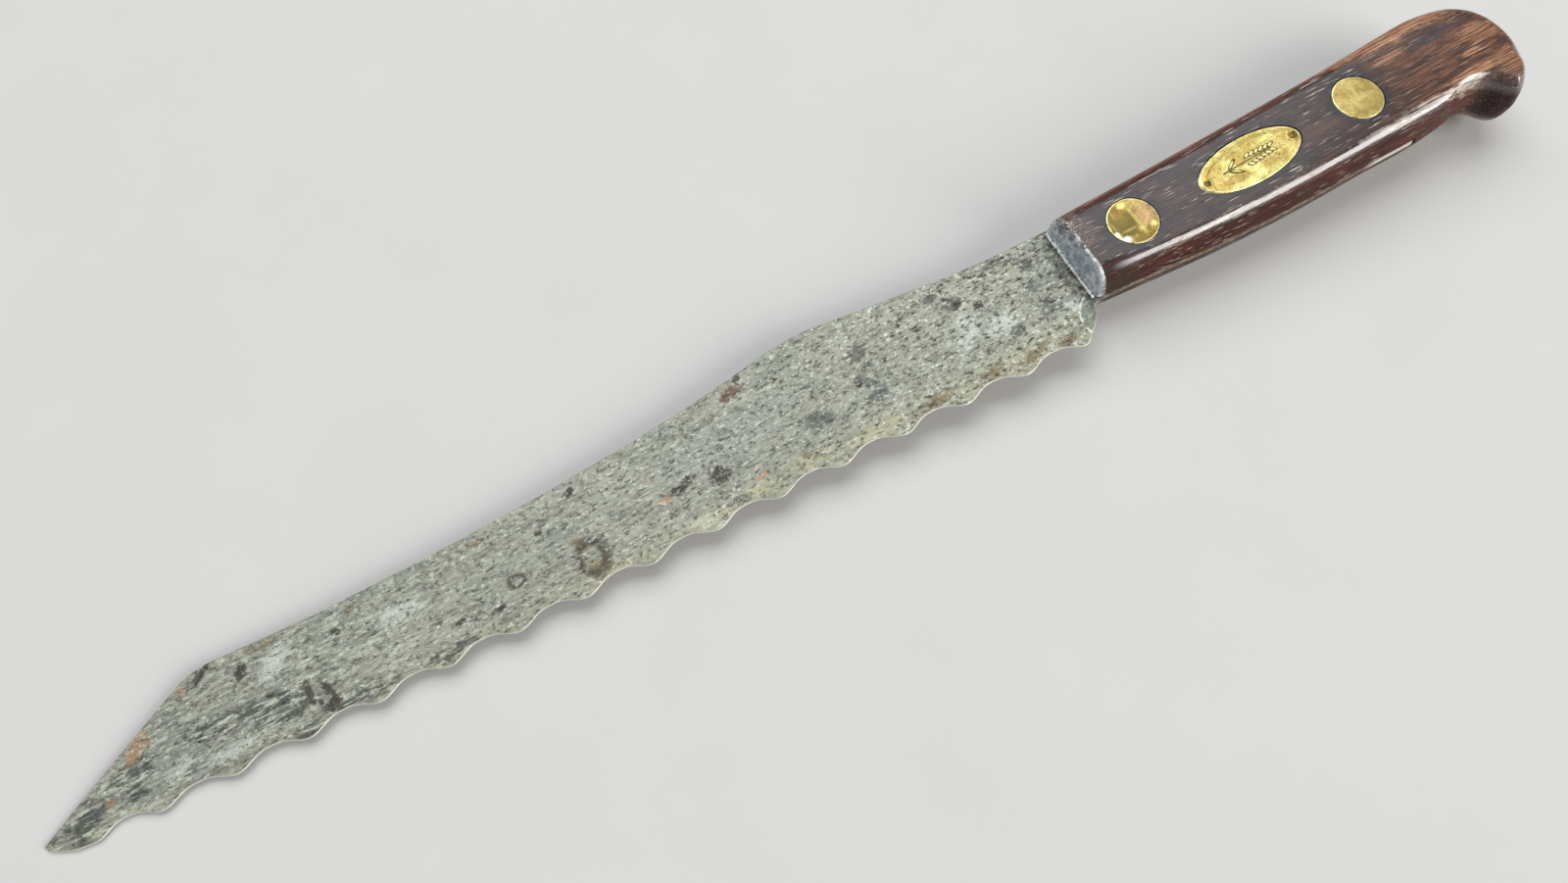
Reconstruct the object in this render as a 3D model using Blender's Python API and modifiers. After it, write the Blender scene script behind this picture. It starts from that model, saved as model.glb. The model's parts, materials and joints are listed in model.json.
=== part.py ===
"""Bread knife: scalloped steel blade, slotted wooden handle, cast bolster, brass rivets and medallion.

Everything is modelled in the knife's own frame and then laid down on its side:
  x  from the blade tip (negative) to the butt of the handle (positive), 0 at the front of the bolster
  y  from the cutting edge (negative) to the back (positive), 0 on the line of the rivets
  z  across the thickness, 0 at the middle of the steel
The finished knife rests on its tip and on the lower front edge of the handle, as it does on a table.
"""

import math

import bmesh
import bpy
from mathutils import Matrix, Vector

MM = 0.001
COLLECTION = "bread_knife"
CUTTERS = "cutters"
GAP = 0.3 * MM
CUTTER_REACH = 30.0 * MM
OVERCUT = 2.0 * MM

# Blade
BLADE_LENGTH = 254.0 * MM
TIP_Y = -8.4 * MM
SPINE_HALF_THICKNESS = 1.0 * MM
EDGE_HALF_THICKNESS = 0.22 * MM
GRIND_BACK_Y = 12.0 * MM
GRIND_EDGE_Y = -18.0 * MM
DISTAL_TAPER = 0.30 * MM
BACK_POINTS = [
    (-240.0, -0.7), (-222.0, 8.65), (-218.0, 10.4), (-213.5, 11.25), (-206.0, 10.9), (-190.0, 10.0),
    (-165.0, 9.65), (-138.0, 10.15), (-118.0, 11.15), (-100.0, 12.5), (-84.0, 14.45), (-73.0, 16.1),
    (-65.0, 16.5), (-57.0, 15.75), (-42.0, 13.8), (-24.0, 11.8), (-10.0, 11.0), (0.0, 10.8),
]
POINT_BELLY = [(-253.2, -9.7), (-251.0, -10.95), (-248.0, -12.1)]
HEEL_POINTS = [(-0.8, -11.1), (-1.2, -12.6), (-2.1, -14.5), (-3.6, -16.2), (-5.2, -17.4), (-6.6, -18.8)]

# Scalloped edge
TOOTH_COUNT = 16
TOOTH_PITCH = 15.88 * MM
LAST_PITCH = 14.05 * MM
HEEL_TOOTH_X = -7.9 * MM
SCALLOP_DEPTH = 2.2 * MM
SCALLOP_SQUARENESS = 1.45
SCALLOP_STEPS = 10
LINE_STEPS = 3
HEEL_STEPS = 2
TOOTH_LINE = [(-254.0, -12.0), (-244.3, -12.55), (-230.0, -13.35), (-199.0, -14.45), (-167.0, -15.15),
              (-135.0, -16.1), (-87.0, -16.9), (-55.0, -17.8), (-23.5, -19.0), (-8.25, -19.4), (0.0, -19.6)]

# Tang
TANG_END = 92.0 * MM
TANG_HALF_THICKNESS = 0.95 * MM
TANG_INSET = 0.1 * MM
TANG_STEPS = 12

# Handle. Each point of the outline names the edge that the handle has there.
HALF_THICKNESS = 8.5 * MM
EDGE_STYLES = {
    # name: (slope of the flank, reach of the rounded corner inwards, and down from the flat side)
    "back": (0.10, 4.0, 4.5),
    "belly": (0.25, 2.0, 2.6),
    "worn": (0.25, 3.4, 4.2),
    "beak": (0.12, 2.7, 6.5),
    "butt": (0.05, 5.2, 7.0),
}
HANDLE_LINE = [
    ("back", -6.0, 10.8), ("back", 0.0, 10.9), ("back", 10.0, 11.2), ("back", 20.0, 11.4),
    ("back", 35.0, 11.8), ("back", 50.0, 12.3), ("back", 65.0, 12.8), ("back", 80.0, 13.4),
    ("back", 92.0, 14.15), ("back", 102.0, 14.8), ("back", 109.0, 15.15), ("butt", 115.6, 15.05),
    ("butt", 121.4, 13.45), ("butt", 126.0, 10.1),
    ("butt", 128.8, 5.4), ("butt", 129.8, 0.2), ("butt", 129.5, -4.6), ("butt", 128.1, -9.2),
    ("beak", 126.0, -12.8), ("beak", 123.0, -15.8), ("beak", 119.6, -17.1), ("beak", 116.8, -15.4),
    ("beak", 114.6, -12.7), ("beak", 111.4, -11.2), ("belly", 106.8, -11.5), ("belly", 101.0, -12.85),
    ("belly", 92.0, -13.4),
    ("belly", 80.0, -13.5), ("belly", 67.0, -13.85), ("belly", 52.0, -13.95), ("belly", 36.0, -13.45),
    ("belly", 16.0, -12.1), ("worn", 4.0, -11.35), ("worn", 0.0, -11.1), ("worn", -6.0, -10.8),
]
HANDLE_STEPS = 3
CORNER_STEPS = 5
NORMAL_REACH = 5
GRIP_END = 100.0 * MM
SLOT_END = TANG_END + 1.0 * MM

# Bolster
BOLSTER_LENGTH = 2.6 * MM
NOSE_RADIUS = 1.2 * MM
NOSE_STEPS = 4
NOSE_LEAN = 0.2
KEY_RADIUS = 0.7 * MM
KEY_X = 1.65 * MM
KEY_Y = (-5.0 * MM, 5.0 * MM)
KEY_HALF_LENGTH = 3.0 * MM
KEY_STEPS = 24

# Rivets
RIVET_CENTRES = {"front": (15.8 * MM, -0.6 * MM), "rear": (82.7 * MM, 0.65 * MM)}
RIVET_HEAD_RADIUS = 6.25 * MM
RIVET_HEAD_THICKNESS = 2.2 * MM
RIVET_SHANK_RADIUS = 2.4 * MM
RIVET_BARREL_RADIUS = 3.5 * MM
RIVET_BARREL_TOP = 5.6 * MM
RIVET_BORE_DEPTH = 9.6 * MM
RIVET_SHANK_LENGTH = 9.0 * MM
RIVET_EDGE_BREAK = 0.15 * MM
ROUND_STEPS = 48

# Medallion
MEDALLION_CENTRE = (49.6 * MM, -0.6 * MM)
MEDALLION_SEMI_AXES = (14.8 * MM, 6.35 * MM)
MEDALLION_TILT = math.radians(2.5)
MEDALLION_THICKNESS = 1.2 * MM
PIN_SPACING = 25.8 * MM
PIN_HEAD_RADIUS = 0.9 * MM
PIN_HEAD_THICKNESS = 0.4 * MM
PIN_SHANK_RADIUS = 0.55 * MM
PIN_LENGTH = 6.0 * MM
PIN_POINT = 1.0 * MM
PIN_STEPS = 20


def clear_scene():
    for obj in list(bpy.data.objects):
        bpy.data.objects.remove(obj, do_unlink=True)


def make_collection(name):
    collection = bpy.data.collections.new(name)
    bpy.context.scene.collection.children.link(collection)
    return collection


def make_material(name, color, roughness, metallic):
    material = bpy.data.materials.new(name)
    material.use_nodes = True
    shader = material.node_tree.nodes["Principled BSDF"]
    shader.inputs["Base Color"].default_value = (*color, 1.0)
    shader.inputs["Roughness"].default_value = roughness
    shader.inputs["Metallic"].default_value = metallic
    return material


# ---------------------------------------------------------------- lines and sections

def millimetres(points):
    return [(x * MM, y * MM) for x, y in points]


def smooth_line(points, steps):
    """Catmull-Rom curve through points, with a number of steps between each two."""
    ends = [points[0]] + list(points) + [points[-1]]
    line = []
    for before, start, end, after in zip(ends, ends[1:], ends[2:], ends[3:]):
        for step in range(steps):
            t = step / steps
            line.append(tuple(catmull_rom(*values, t) for values in zip(before, start, end, after)))
    line.append(tuple(points[-1]))
    return line


def catmull_rom(before, start, end, after, t):
    bend = 2 * before - 5 * start + 4 * end - after
    twist = 3 * start - before - 3 * end + after
    return start + 0.5 * t * (end - before + t * (bend + t * twist))


def height_at(x, points):
    """Smooth height at x of a line whose points are listed from left to right."""
    if x <= points[0][0]:
        return points[0][1]
    for i in range(len(points) - 1):
        if x <= points[i + 1][0]:
            break
    left, right = points[i], points[i + 1]
    before = points[max(i - 1, 0)]
    after = points[min(i + 2, len(points) - 1)]
    span = right[0] - left[0]
    t = (x - left[0]) / span
    slope_left = span * (right[1] - before[1]) / (right[0] - before[0])
    slope_right = span * (after[1] - left[1]) / (after[0] - left[0])
    rise = right[1] - left[1]
    bend = 3 * rise - 2 * slope_left - slope_right
    twist = slope_left + slope_right - 2 * rise
    return left[1] + t * (slope_left + t * (bend + t * twist))


def edged_outline(points, steps):
    """Smooth outline as (x, y, slope, inwards, down), with the edge style blended between the points."""
    styled = []
    for name, x, y in points:
        slope, inwards, down = EDGE_STYLES[name]
        styled.append((x * MM, y * MM, slope, inwards * MM, down * MM))
    return smooth_line(styled, steps)


def height_on(line, x):
    """Height at x of a line whose points run from left to right."""
    for left, right in zip(line, line[1:]):
        if left[0] <= x <= right[0]:
            return left[1] + (right[1] - left[1]) * (x - left[0]) / (right[0] - left[0])
    raise ValueError("x lies outside the line")


def grip_line(side):
    """The handle's outline in front of the beak, on the back (1) or the belly (-1), left to right."""
    outline = edged_outline(HANDLE_LINE, HANDLE_STEPS)
    return sorted(point for point in outline if point[0] < GRIP_END and point[1] * side > 0.0)


def inward_normals(outline):
    """Unit vectors towards the inside of a clockwise outline, averaged over a few neighbours."""
    normals = []
    for i in range(len(outline)):
        before = outline[max(i - NORMAL_REACH, 0)]
        after = outline[min(i + NORMAL_REACH, len(outline) - 1)]
        along = (after[0] - before[0], after[1] - before[1])
        length = math.hypot(*along)
        normals.append((along[1] / length, -along[0] / length))
    return normals


def corner_profile(slope, inwards, down):
    """Rounded corner above a leaning flank: (distance in from the outline, z) points from the top down."""
    points = []
    for step in range(CORNER_STEPS, -1, -1):
        angle = math.radians(90.0) * step / CORNER_STEPS
        z = HALF_THICKNESS - down * (1.0 - math.sin(angle))
        points.append((slope * z + inwards * (1.0 - math.cos(angle)), z))
    return points


def edge_rings(outline):
    """The outline drawn in more and more towards both flat sides, as rings from +z to -z."""
    columns = []
    for (x, y, *style), normal in zip(outline, inward_normals(outline)):
        upper = [(x + inset * normal[0], y + inset * normal[1], z) for inset, z in corner_profile(*style)]
        lower = [(x, y, -z) for x, y, z in reversed(upper)]
        columns.append(upper + [(x, y, 0.0)] + lower)
    return [list(ring) for ring in zip(*columns)]


# ---------------------------------------------------------------- mesh helpers

def add_mesh(name, mesh, collection, material=None):
    obj = bpy.data.objects.new(name, mesh)
    collection.objects.link(obj)
    if material:
        obj.data.materials.clear()
        obj.data.materials.append(material)
    return obj


def loft(name, sections, collection, material=None):
    """Solid through closed rings with equal numbers of (x, y, z) points, with flat ends."""
    bm = bmesh.new()
    rings = [[bm.verts.new(point) for point in section] for section in sections]
    for ring, following in zip(rings, rings[1:]):
        for i in range(len(ring)):
            j = (i + 1) % len(ring)
            bm.faces.new((ring[i], following[i], following[j], ring[j]))
    bm.faces.new(rings[0])
    bm.faces.new(reversed(rings[-1]))
    bmesh.ops.remove_doubles(bm, verts=bm.verts, dist=0.001 * MM)
    bmesh.ops.recalc_face_normals(bm, faces=bm.faces)
    mesh = bpy.data.meshes.new(name)
    bm.to_mesh(mesh)
    bm.free()
    return add_mesh(name, mesh, collection, material)


def plate(name, outline, half_thickness, collection, material=None):
    """Flat plate with the given outline, made from a filled 2D curve and turned into a welded mesh."""
    curve = bpy.data.curves.new(name, "CURVE")
    curve.dimensions = "2D"
    curve.fill_mode = "BOTH"
    curve.extrude = half_thickness
    spline = curve.splines.new("POLY")
    spline.points.add(len(outline) - 1)
    for point, (x, y) in zip(spline.points, outline):
        point.co = (x, y, 0.0, 1.0)
    spline.use_cyclic_u = True
    curve_object = bpy.data.objects.new(name + "_outline", curve)
    collection.objects.link(curve_object)
    depsgraph = bpy.context.evaluated_depsgraph_get()
    mesh = bpy.data.meshes.new_from_object(curve_object.evaluated_get(depsgraph))
    bpy.data.objects.remove(curve_object)
    bm = bmesh.new()
    bm.from_mesh(mesh)
    bmesh.ops.remove_doubles(bm, verts=bm.verts, dist=0.01 * MM)
    bmesh.ops.recalc_face_normals(bm, faces=bm.faces)
    bm.to_mesh(mesh)
    bm.free()
    return add_mesh(name, mesh, collection, material)


def ellipse(centre, semi_axes, tilt, steps):
    outline = []
    for step in range(steps):
        angle = 2 * math.pi * step / steps
        point = Vector((semi_axes[0] * math.cos(angle), semi_axes[1] * math.sin(angle)))
        point.rotate(Matrix.Rotation(tilt, 2))
        outline.append((centre[0] + point.x, centre[1] + point.y))
    return outline


def cylinder(name, centre, radius, low, high, collection, steps=ROUND_STEPS):
    """Cylinder along z between two heights."""
    mesh = bpy.data.meshes.new(name)
    bm = bmesh.new()
    bmesh.ops.create_cone(bm, cap_ends=True, segments=steps, radius1=radius, radius2=radius, depth=high - low)
    bmesh.ops.translate(bm, verts=bm.verts, vec=(centre[0], centre[1], (low + high) / 2))
    bm.to_mesh(mesh)
    bm.free()
    return add_mesh(name, mesh, collection)


def box(name, low, high, collection):
    mesh = bpy.data.meshes.new(name)
    bm = bmesh.new()
    bmesh.ops.create_cube(bm, size=1.0)
    size = Vector(high) - Vector(low)
    middle = (Vector(high) + Vector(low)) / 2
    bmesh.ops.scale(bm, verts=bm.verts, vec=size)
    bmesh.ops.translate(bm, verts=bm.verts, vec=middle)
    bm.to_mesh(mesh)
    bm.free()
    return add_mesh(name, mesh, collection)


def turned(name, centre, profile, collection, material, steps=ROUND_STEPS, flip=False):
    """Turned solid: a profile of (radius, z) points from the top down, spun about a z axis through centre."""
    mesh = bpy.data.meshes.new(name)
    points = [(radius, 0.0, -z if flip else z) for radius, z in profile]
    if flip:
        points.reverse()
    mesh.from_pydata(points, [(i, i + 1) for i in range(len(points) - 1)], [])
    obj = add_mesh(name, mesh, collection, material)
    obj.location = (centre[0], centre[1], 0.0)
    screw = obj.modifiers.new("turn", "SCREW")
    screw.axis = "Z"
    screw.steps = steps
    screw.render_steps = steps
    screw.use_merge_vertices = True
    screw.merge_threshold = 0.01 * MM
    screw.use_smooth_shade = True
    return obj


def combine(target, tool, operation):
    """Boolean on target. The tool stays in the scene as a wire guide."""
    modifier = target.modifiers.new(tool.name, "BOOLEAN")
    modifier.operation = operation
    modifier.solver = "EXACT"
    modifier.object = tool
    tool.hide_render = True
    tool.display_type = "WIRE"


def shade(obj, angle=35.0):
    obj.data.shade_smooth()
    obj.data.set_sharp_from_angle(angle=math.radians(angle))


# ---------------------------------------------------------------- steel

def tooth_tip_y(x):
    return height_at(x, millimetres(TOOTH_LINE))


def tooth_tip_x(number):
    """Place of a tooth along the blade, counted from 0 at the heel. The last one stands closer."""
    if number < TOOTH_COUNT - 1:
        return HEEL_TOOTH_X - TOOTH_PITCH * number
    return tooth_tip_x(TOOTH_COUNT - 2) - LAST_PITCH


def scalloped_edge():
    """Cutting edge from the heel tooth to the last tooth: shallow arcs between narrow rounded teeth."""
    edge = []
    for number in range(TOOTH_COUNT - 1):
        start = tooth_tip_x(number)
        pitch = start - tooth_tip_x(number + 1)
        for step in range(SCALLOP_STEPS):
            phase = step / SCALLOP_STEPS
            x = start - pitch * phase
            closeness = (1.0 + math.cos(2 * math.pi * phase)) / 2
            rise = SCALLOP_DEPTH * (1.0 - closeness ** SCALLOP_SQUARENESS)
            edge.append((x, tooth_tip_y(x) + rise))
    last = tooth_tip_x(TOOTH_COUNT - 1)
    edge.append((last, tooth_tip_y(last)))
    return edge


def blade_outline():
    """Tip, back, tang and heel, then the teeth back to the tip."""
    tip = (-BLADE_LENGTH, TIP_Y)
    back = smooth_line([tip] + millimetres(BACK_POINTS), LINE_STEPS)
    back_line, belly_line = grip_line(1), grip_line(-1)
    tang_xs = [TANG_END * i / TANG_STEPS for i in range(TANG_STEPS + 1)]
    tang_back = [(x, height_on(back_line, x) - TANG_INSET) for x in tang_xs[1:]]
    tang_belly = [(x, height_on(belly_line, x) + TANG_INSET) for x in reversed(tang_xs)]
    edge = scalloped_edge()
    heel = smooth_line(millimetres(HEEL_POINTS) + [edge[0]], HEEL_STEPS)[:-1]
    belly = list(reversed(smooth_line([tip] + millimetres(POINT_BELLY) + [edge[-1]], LINE_STEPS)))[1:-1]
    return back + tang_back + tang_belly + heel + edge + belly


def blade_half_thickness(x, y):
    """Flat grind from back to edge that also thins towards the tip; the tang keeps one thickness."""
    if x > 0.0:
        return TANG_HALF_THICKNESS
    slope = (SPINE_HALF_THICKNESS - EDGE_HALF_THICKNESS) / (GRIND_BACK_Y - GRIND_EDGE_Y)
    taper = -x / BLADE_LENGTH * DISTAL_TAPER
    return EDGE_HALF_THICKNESS + slope * (y - GRIND_EDGE_Y) - taper * (1.0 + y / (2 * GRIND_BACK_Y)) / 2


def make_blade(collection, cutters, steel):
    blade = plate("blade", blade_outline(), SPINE_HALF_THICKNESS, collection, steel)
    bm = bmesh.new()
    bm.from_mesh(blade.data)
    for x in (0.0, GAP):
        geometry = bm.verts[:] + bm.edges[:] + bm.faces[:]
        bmesh.ops.bisect_plane(bm, geom=geometry, plane_co=(x, 0, 0), plane_no=(1, 0, 0), dist=0.001 * MM)
    for vertex in bm.verts:
        side = math.copysign(1.0, vertex.co.z)
        vertex.co.z = side * blade_half_thickness(vertex.co.x, vertex.co.y)
    bm.to_mesh(blade.data)
    bm.free()
    for end, centre in RIVET_CENTRES.items():
        hole = cylinder(f"tang_hole_{end}", centre, RIVET_BARREL_RADIUS + GAP, -OVERCUT, OVERCUT, cutters)
        combine(blade, hole, "DIFFERENCE")
    for i, y in enumerate(KEY_Y):
        radius = KEY_RADIUS + GAP
        hole = cylinder(f"key_hole_{i}", (KEY_X, y), radius, -OVERCUT, OVERCUT, cutters, KEY_STEPS)
        combine(blade, hole, "DIFFERENCE")
    shade(blade)


# ---------------------------------------------------------------- bolster and wood

def slot_box(name, high_x, cutters):
    """Saw slot for the tang, open at the front."""
    half_slot = TANG_HALF_THICKNESS + GAP
    return box(name, (-CUTTER_REACH, -CUTTER_REACH, -half_slot), (high_x, CUTTER_REACH, half_slot), cutters)


def cheek_section(x, shrink, lines):
    """Section above the slot, drawn in by shrink, with a front that leans back towards the flat side."""
    low = TANG_HALF_THICKNESS + GAP
    section = []
    for (style, line), side in zip(lines.items(), (1, -1)):
        slope, inwards, down = EDGE_STYLES[style]
        edge_y = height_on(line, x)
        corner = corner_profile(slope, inwards * MM, down * MM) + [(slope * low, low)]
        half = []
        for inset, z in corner:
            share = (z - low) / (HALF_THICKNESS - low)
            lean = NOSE_LEAN * (z - low) * (BOLSTER_LENGTH - x) / BOLSTER_LENGTH
            half.append((x + lean, edge_y - side * (inset + shrink), z - shrink * share))
        section += half if side == 1 else list(reversed(half))
    return section


def cheek_rings(side):
    """Rings of one cheek from its rounded front to its flat back, on the +z side (1) or the -z side (-1)."""
    lines = {"back": grip_line(1), "worn": grip_line(-1)}
    rings = []
    for step in range(NOSE_STEPS + 1):
        angle = math.radians(90.0) * step / NOSE_STEPS
        x = GAP + NOSE_RADIUS * (1.0 - math.cos(angle))
        rings.append(cheek_section(x, NOSE_RADIUS * (1.0 - math.sin(angle)), lines))
    rings.append(cheek_section(BOLSTER_LENGTH, 0.0, lines))
    return [[(x, y, side * z) for x, y, z in ring] for ring in rings]


def make_bolster(collection, cutters, pewter):
    """Cast cap in front of the wood: two cheeks joined by two keys through holes in the tang."""
    bolster = loft("bolster", cheek_rings(1), collection, pewter)
    combine(bolster, loft("bolster_lower_cheek", cheek_rings(-1), cutters), "UNION")
    for i, y in enumerate(KEY_Y):
        ends = (-KEY_HALF_LENGTH, KEY_HALF_LENGTH)
        key = cylinder(f"bolster_key_{i}", (KEY_X, y), KEY_RADIUS, *ends, cutters, KEY_STEPS)
        combine(bolster, key, "UNION")
    shade(bolster)


def make_handle(collection, cutters, wood):
    """One block of wood, sawn down the middle for the tang and let in for the brass."""
    handle = loft("handle", edge_rings(edged_outline(HANDLE_LINE, HANDLE_STEPS)), collection, wood)
    low_corner = (-CUTTER_REACH, -CUTTER_REACH, -CUTTER_REACH)
    front = box("handle_front", low_corner, (BOLSTER_LENGTH + GAP, CUTTER_REACH, CUTTER_REACH), cutters)
    combine(handle, front, "DIFFERENCE")
    combine(handle, slot_box("handle_slot", SLOT_END, cutters), "DIFFERENCE")
    above = HALF_THICKNESS + OVERCUT
    seat = HALF_THICKNESS - RIVET_HEAD_THICKNESS - GAP
    for end, centre in RIVET_CENTRES.items():
        barrel = cylinder(f"barrel_hole_{end}", centre, RIVET_BARREL_RADIUS + GAP, -above, above, cutters)
        combine(handle, barrel, "DIFFERENCE")
        head = RIVET_HEAD_RADIUS + GAP
        combine(handle, cylinder(f"male_seat_{end}", centre, head, seat, above, cutters), "DIFFERENCE")
        combine(handle, cylinder(f"female_seat_{end}", centre, head, -above, -seat, cutters), "DIFFERENCE")
    pocket_axes = [semi_axis + GAP for semi_axis in MEDALLION_SEMI_AXES]
    pocket_half_height = MEDALLION_THICKNESS + GAP
    pocket = plate("medallion_pocket", ellipse(MEDALLION_CENTRE, pocket_axes, MEDALLION_TILT, ROUND_STEPS),
                   pocket_half_height, cutters)
    pocket.location.z = HALF_THICKNESS
    combine(handle, pocket, "DIFFERENCE")
    for end, centre in pin_centres().items():
        low = HALF_THICKNESS - PIN_LENGTH - GAP
        hole = cylinder(f"pin_hole_{end}", centre, PIN_SHANK_RADIUS + GAP, low, above, cutters, PIN_STEPS)
        combine(handle, hole, "DIFFERENCE")
    shade(handle)


# ---------------------------------------------------------------- brass

def make_rivet(end, centre, collection, brass):
    """Two-part rivet: a headed shank from above, driven into a headed barrel from below."""
    top = HALF_THICKNESS
    under_head = top - RIVET_HEAD_THICKNESS
    head = [(0.0, top), (RIVET_HEAD_RADIUS - RIVET_EDGE_BREAK, top),
            (RIVET_HEAD_RADIUS, top - RIVET_EDGE_BREAK), (RIVET_HEAD_RADIUS, under_head)]
    male = [(RIVET_SHANK_RADIUS, under_head),
            (RIVET_SHANK_RADIUS, under_head - RIVET_SHANK_LENGTH), (0.0, under_head - RIVET_SHANK_LENGTH)]
    turned(f"{end}_rivet_male", centre, head + male, collection, brass)
    bore = RIVET_SHANK_RADIUS + GAP
    rim = -RIVET_BARREL_TOP
    female = [(RIVET_BARREL_RADIUS, under_head), (RIVET_BARREL_RADIUS, rim),
              (bore, rim), (bore, rim + RIVET_BORE_DEPTH), (0.0, rim + RIVET_BORE_DEPTH)]
    turned(f"{end}_rivet_female", centre, head + female, collection, brass, flip=True)


def pin_centres():
    """The two pins stand on the medallion's long axis."""
    along = Vector((math.cos(MEDALLION_TILT), math.sin(MEDALLION_TILT))) * PIN_SPACING / 2
    middle = Vector(MEDALLION_CENTRE)
    return {"front": tuple(middle - along), "rear": tuple(middle + along)}


def make_medallion(collection, cutters, brass):
    """Oval plate let into the wood, with a hole for each pin."""
    outline = ellipse(MEDALLION_CENTRE, MEDALLION_SEMI_AXES, MEDALLION_TILT, ROUND_STEPS)
    medallion = plate("medallion", outline, MEDALLION_THICKNESS / 2, collection, brass)
    medallion.location.z = HALF_THICKNESS - MEDALLION_THICKNESS / 2
    for end, centre in pin_centres().items():
        radius = PIN_HEAD_RADIUS + GAP
        low = HALF_THICKNESS - MEDALLION_THICKNESS - OVERCUT
        high = HALF_THICKNESS + OVERCUT
        hole = cylinder(f"medallion_hole_{end}", centre, radius, low, high, cutters, PIN_STEPS)
        combine(medallion, hole, "DIFFERENCE")
    shade(medallion)


def make_pins(collection, brass):
    top = HALF_THICKNESS
    profile = [(0.0, top), (PIN_HEAD_RADIUS, top), (PIN_HEAD_RADIUS, top - PIN_HEAD_THICKNESS),
               (PIN_SHANK_RADIUS, top - 2 * PIN_HEAD_THICKNESS),
               (PIN_SHANK_RADIUS, top - PIN_LENGTH + PIN_POINT),
               (0.0, top - PIN_LENGTH)]
    for end, centre in pin_centres().items():
        turned(f"medallion_pin_{end}", centre, profile, collection, brass, PIN_STEPS)


# ---------------------------------------------------------------- rest pose

def world_points(objects):
    depsgraph = bpy.context.evaluated_depsgraph_get()
    points = []
    for obj in objects:
        evaluated = obj.evaluated_get(depsgraph)
        mesh = evaluated.to_mesh()
        points += [evaluated.matrix_world @ vertex.co for vertex in mesh.vertices]
        evaluated.to_mesh_clear()
    return points


def rest_pitch(points):
    """Angle that lays the knife down on its tip and on the lower edge of the handle's front."""
    tip = min(points, key=lambda p: (p.x, p.z))
    handle_points = [p for p in points if p.x > 0.0]
    slope = min((p.z - tip.z) / (p.x - tip.x) for p in handle_points)
    return math.atan(-slope)


def lay_down(collection):
    """Parent every part to one empty, pitch it and put the middle of the footprint at the origin."""
    rig = bpy.data.objects.new("knife_pose", None)
    collection.objects.link(rig)
    parts = [obj for obj in collection.objects if obj.type == "MESH"]
    guides = list(bpy.data.collections[CUTTERS].objects)
    bpy.context.view_layer.update()
    pitch = rest_pitch(world_points(parts))
    for obj in parts + guides:
        obj.parent = rig
    rig.rotation_euler = (0.0, -pitch, 0.0)
    bpy.context.view_layer.update()
    points = world_points(parts)
    low = Vector([min(p[i] for p in points) for i in range(3)])
    high = Vector([max(p[i] for p in points) for i in range(3)])
    middle = (low + high) / 2
    rig.location = (-middle.x, -middle.y, -low.z)
    bpy.context.view_layer.update()


def main():
    clear_scene()
    parts = make_collection(COLLECTION)
    cutters = make_collection(CUTTERS)
    steel = make_material("steel", (0.36, 0.37, 0.34), 0.45, 1.0)
    wood = make_material("rosewood", (0.060, 0.028, 0.017), 0.35, 0.0)
    pewter = make_material("pewter", (0.20, 0.21, 0.22), 0.5, 1.0)
    brass = make_material("brass", (0.50, 0.36, 0.10), 0.4, 1.0)
    make_blade(parts, cutters, steel)
    make_bolster(parts, cutters, pewter)
    make_handle(parts, cutters, wood)
    for end, centre in RIVET_CENTRES.items():
        make_rivet(end, centre, parts, brass)
    make_medallion(parts, cutters, brass)
    make_pins(parts, brass)
    lay_down(parts)


main()
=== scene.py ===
import json
from math import copysign, cos, degrees, dist, exp, hypot, pi, radians, sin

import bmesh
import bpy
from mathutils import Matrix, Vector, noise


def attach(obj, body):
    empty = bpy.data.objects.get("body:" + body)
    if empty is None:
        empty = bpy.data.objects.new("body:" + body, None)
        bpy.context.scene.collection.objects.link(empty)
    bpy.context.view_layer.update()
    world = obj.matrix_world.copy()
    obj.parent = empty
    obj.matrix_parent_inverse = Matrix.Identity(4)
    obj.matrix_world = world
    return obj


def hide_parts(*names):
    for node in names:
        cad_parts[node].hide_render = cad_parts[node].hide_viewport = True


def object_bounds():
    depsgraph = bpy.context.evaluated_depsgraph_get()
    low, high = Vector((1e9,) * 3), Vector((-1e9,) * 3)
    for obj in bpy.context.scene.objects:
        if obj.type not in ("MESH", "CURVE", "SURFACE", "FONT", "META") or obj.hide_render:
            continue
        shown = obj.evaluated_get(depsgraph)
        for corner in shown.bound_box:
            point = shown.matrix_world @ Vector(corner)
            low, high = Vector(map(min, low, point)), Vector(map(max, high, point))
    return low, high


# Looks of the bread knife. Every piece is built in the knife's own frame, in millimetres, then scaled to
# metres and laid down where the knife lies:
#   x  from the tip of the blade (negative) to the butt (positive), 0 at the front of the bolster
#   y  from the cutting edge (negative) to the back (positive), 0 on the line of the rivets
#   z  across the thickness, 0 at the middle of the steel

MM = 0.001

# Where the record's mount on the underside of the handle lies in the knife's own frame
REST_MOUNT = "handle_rest"
REST_POINT = (50, -0.6, -8.5)

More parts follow.
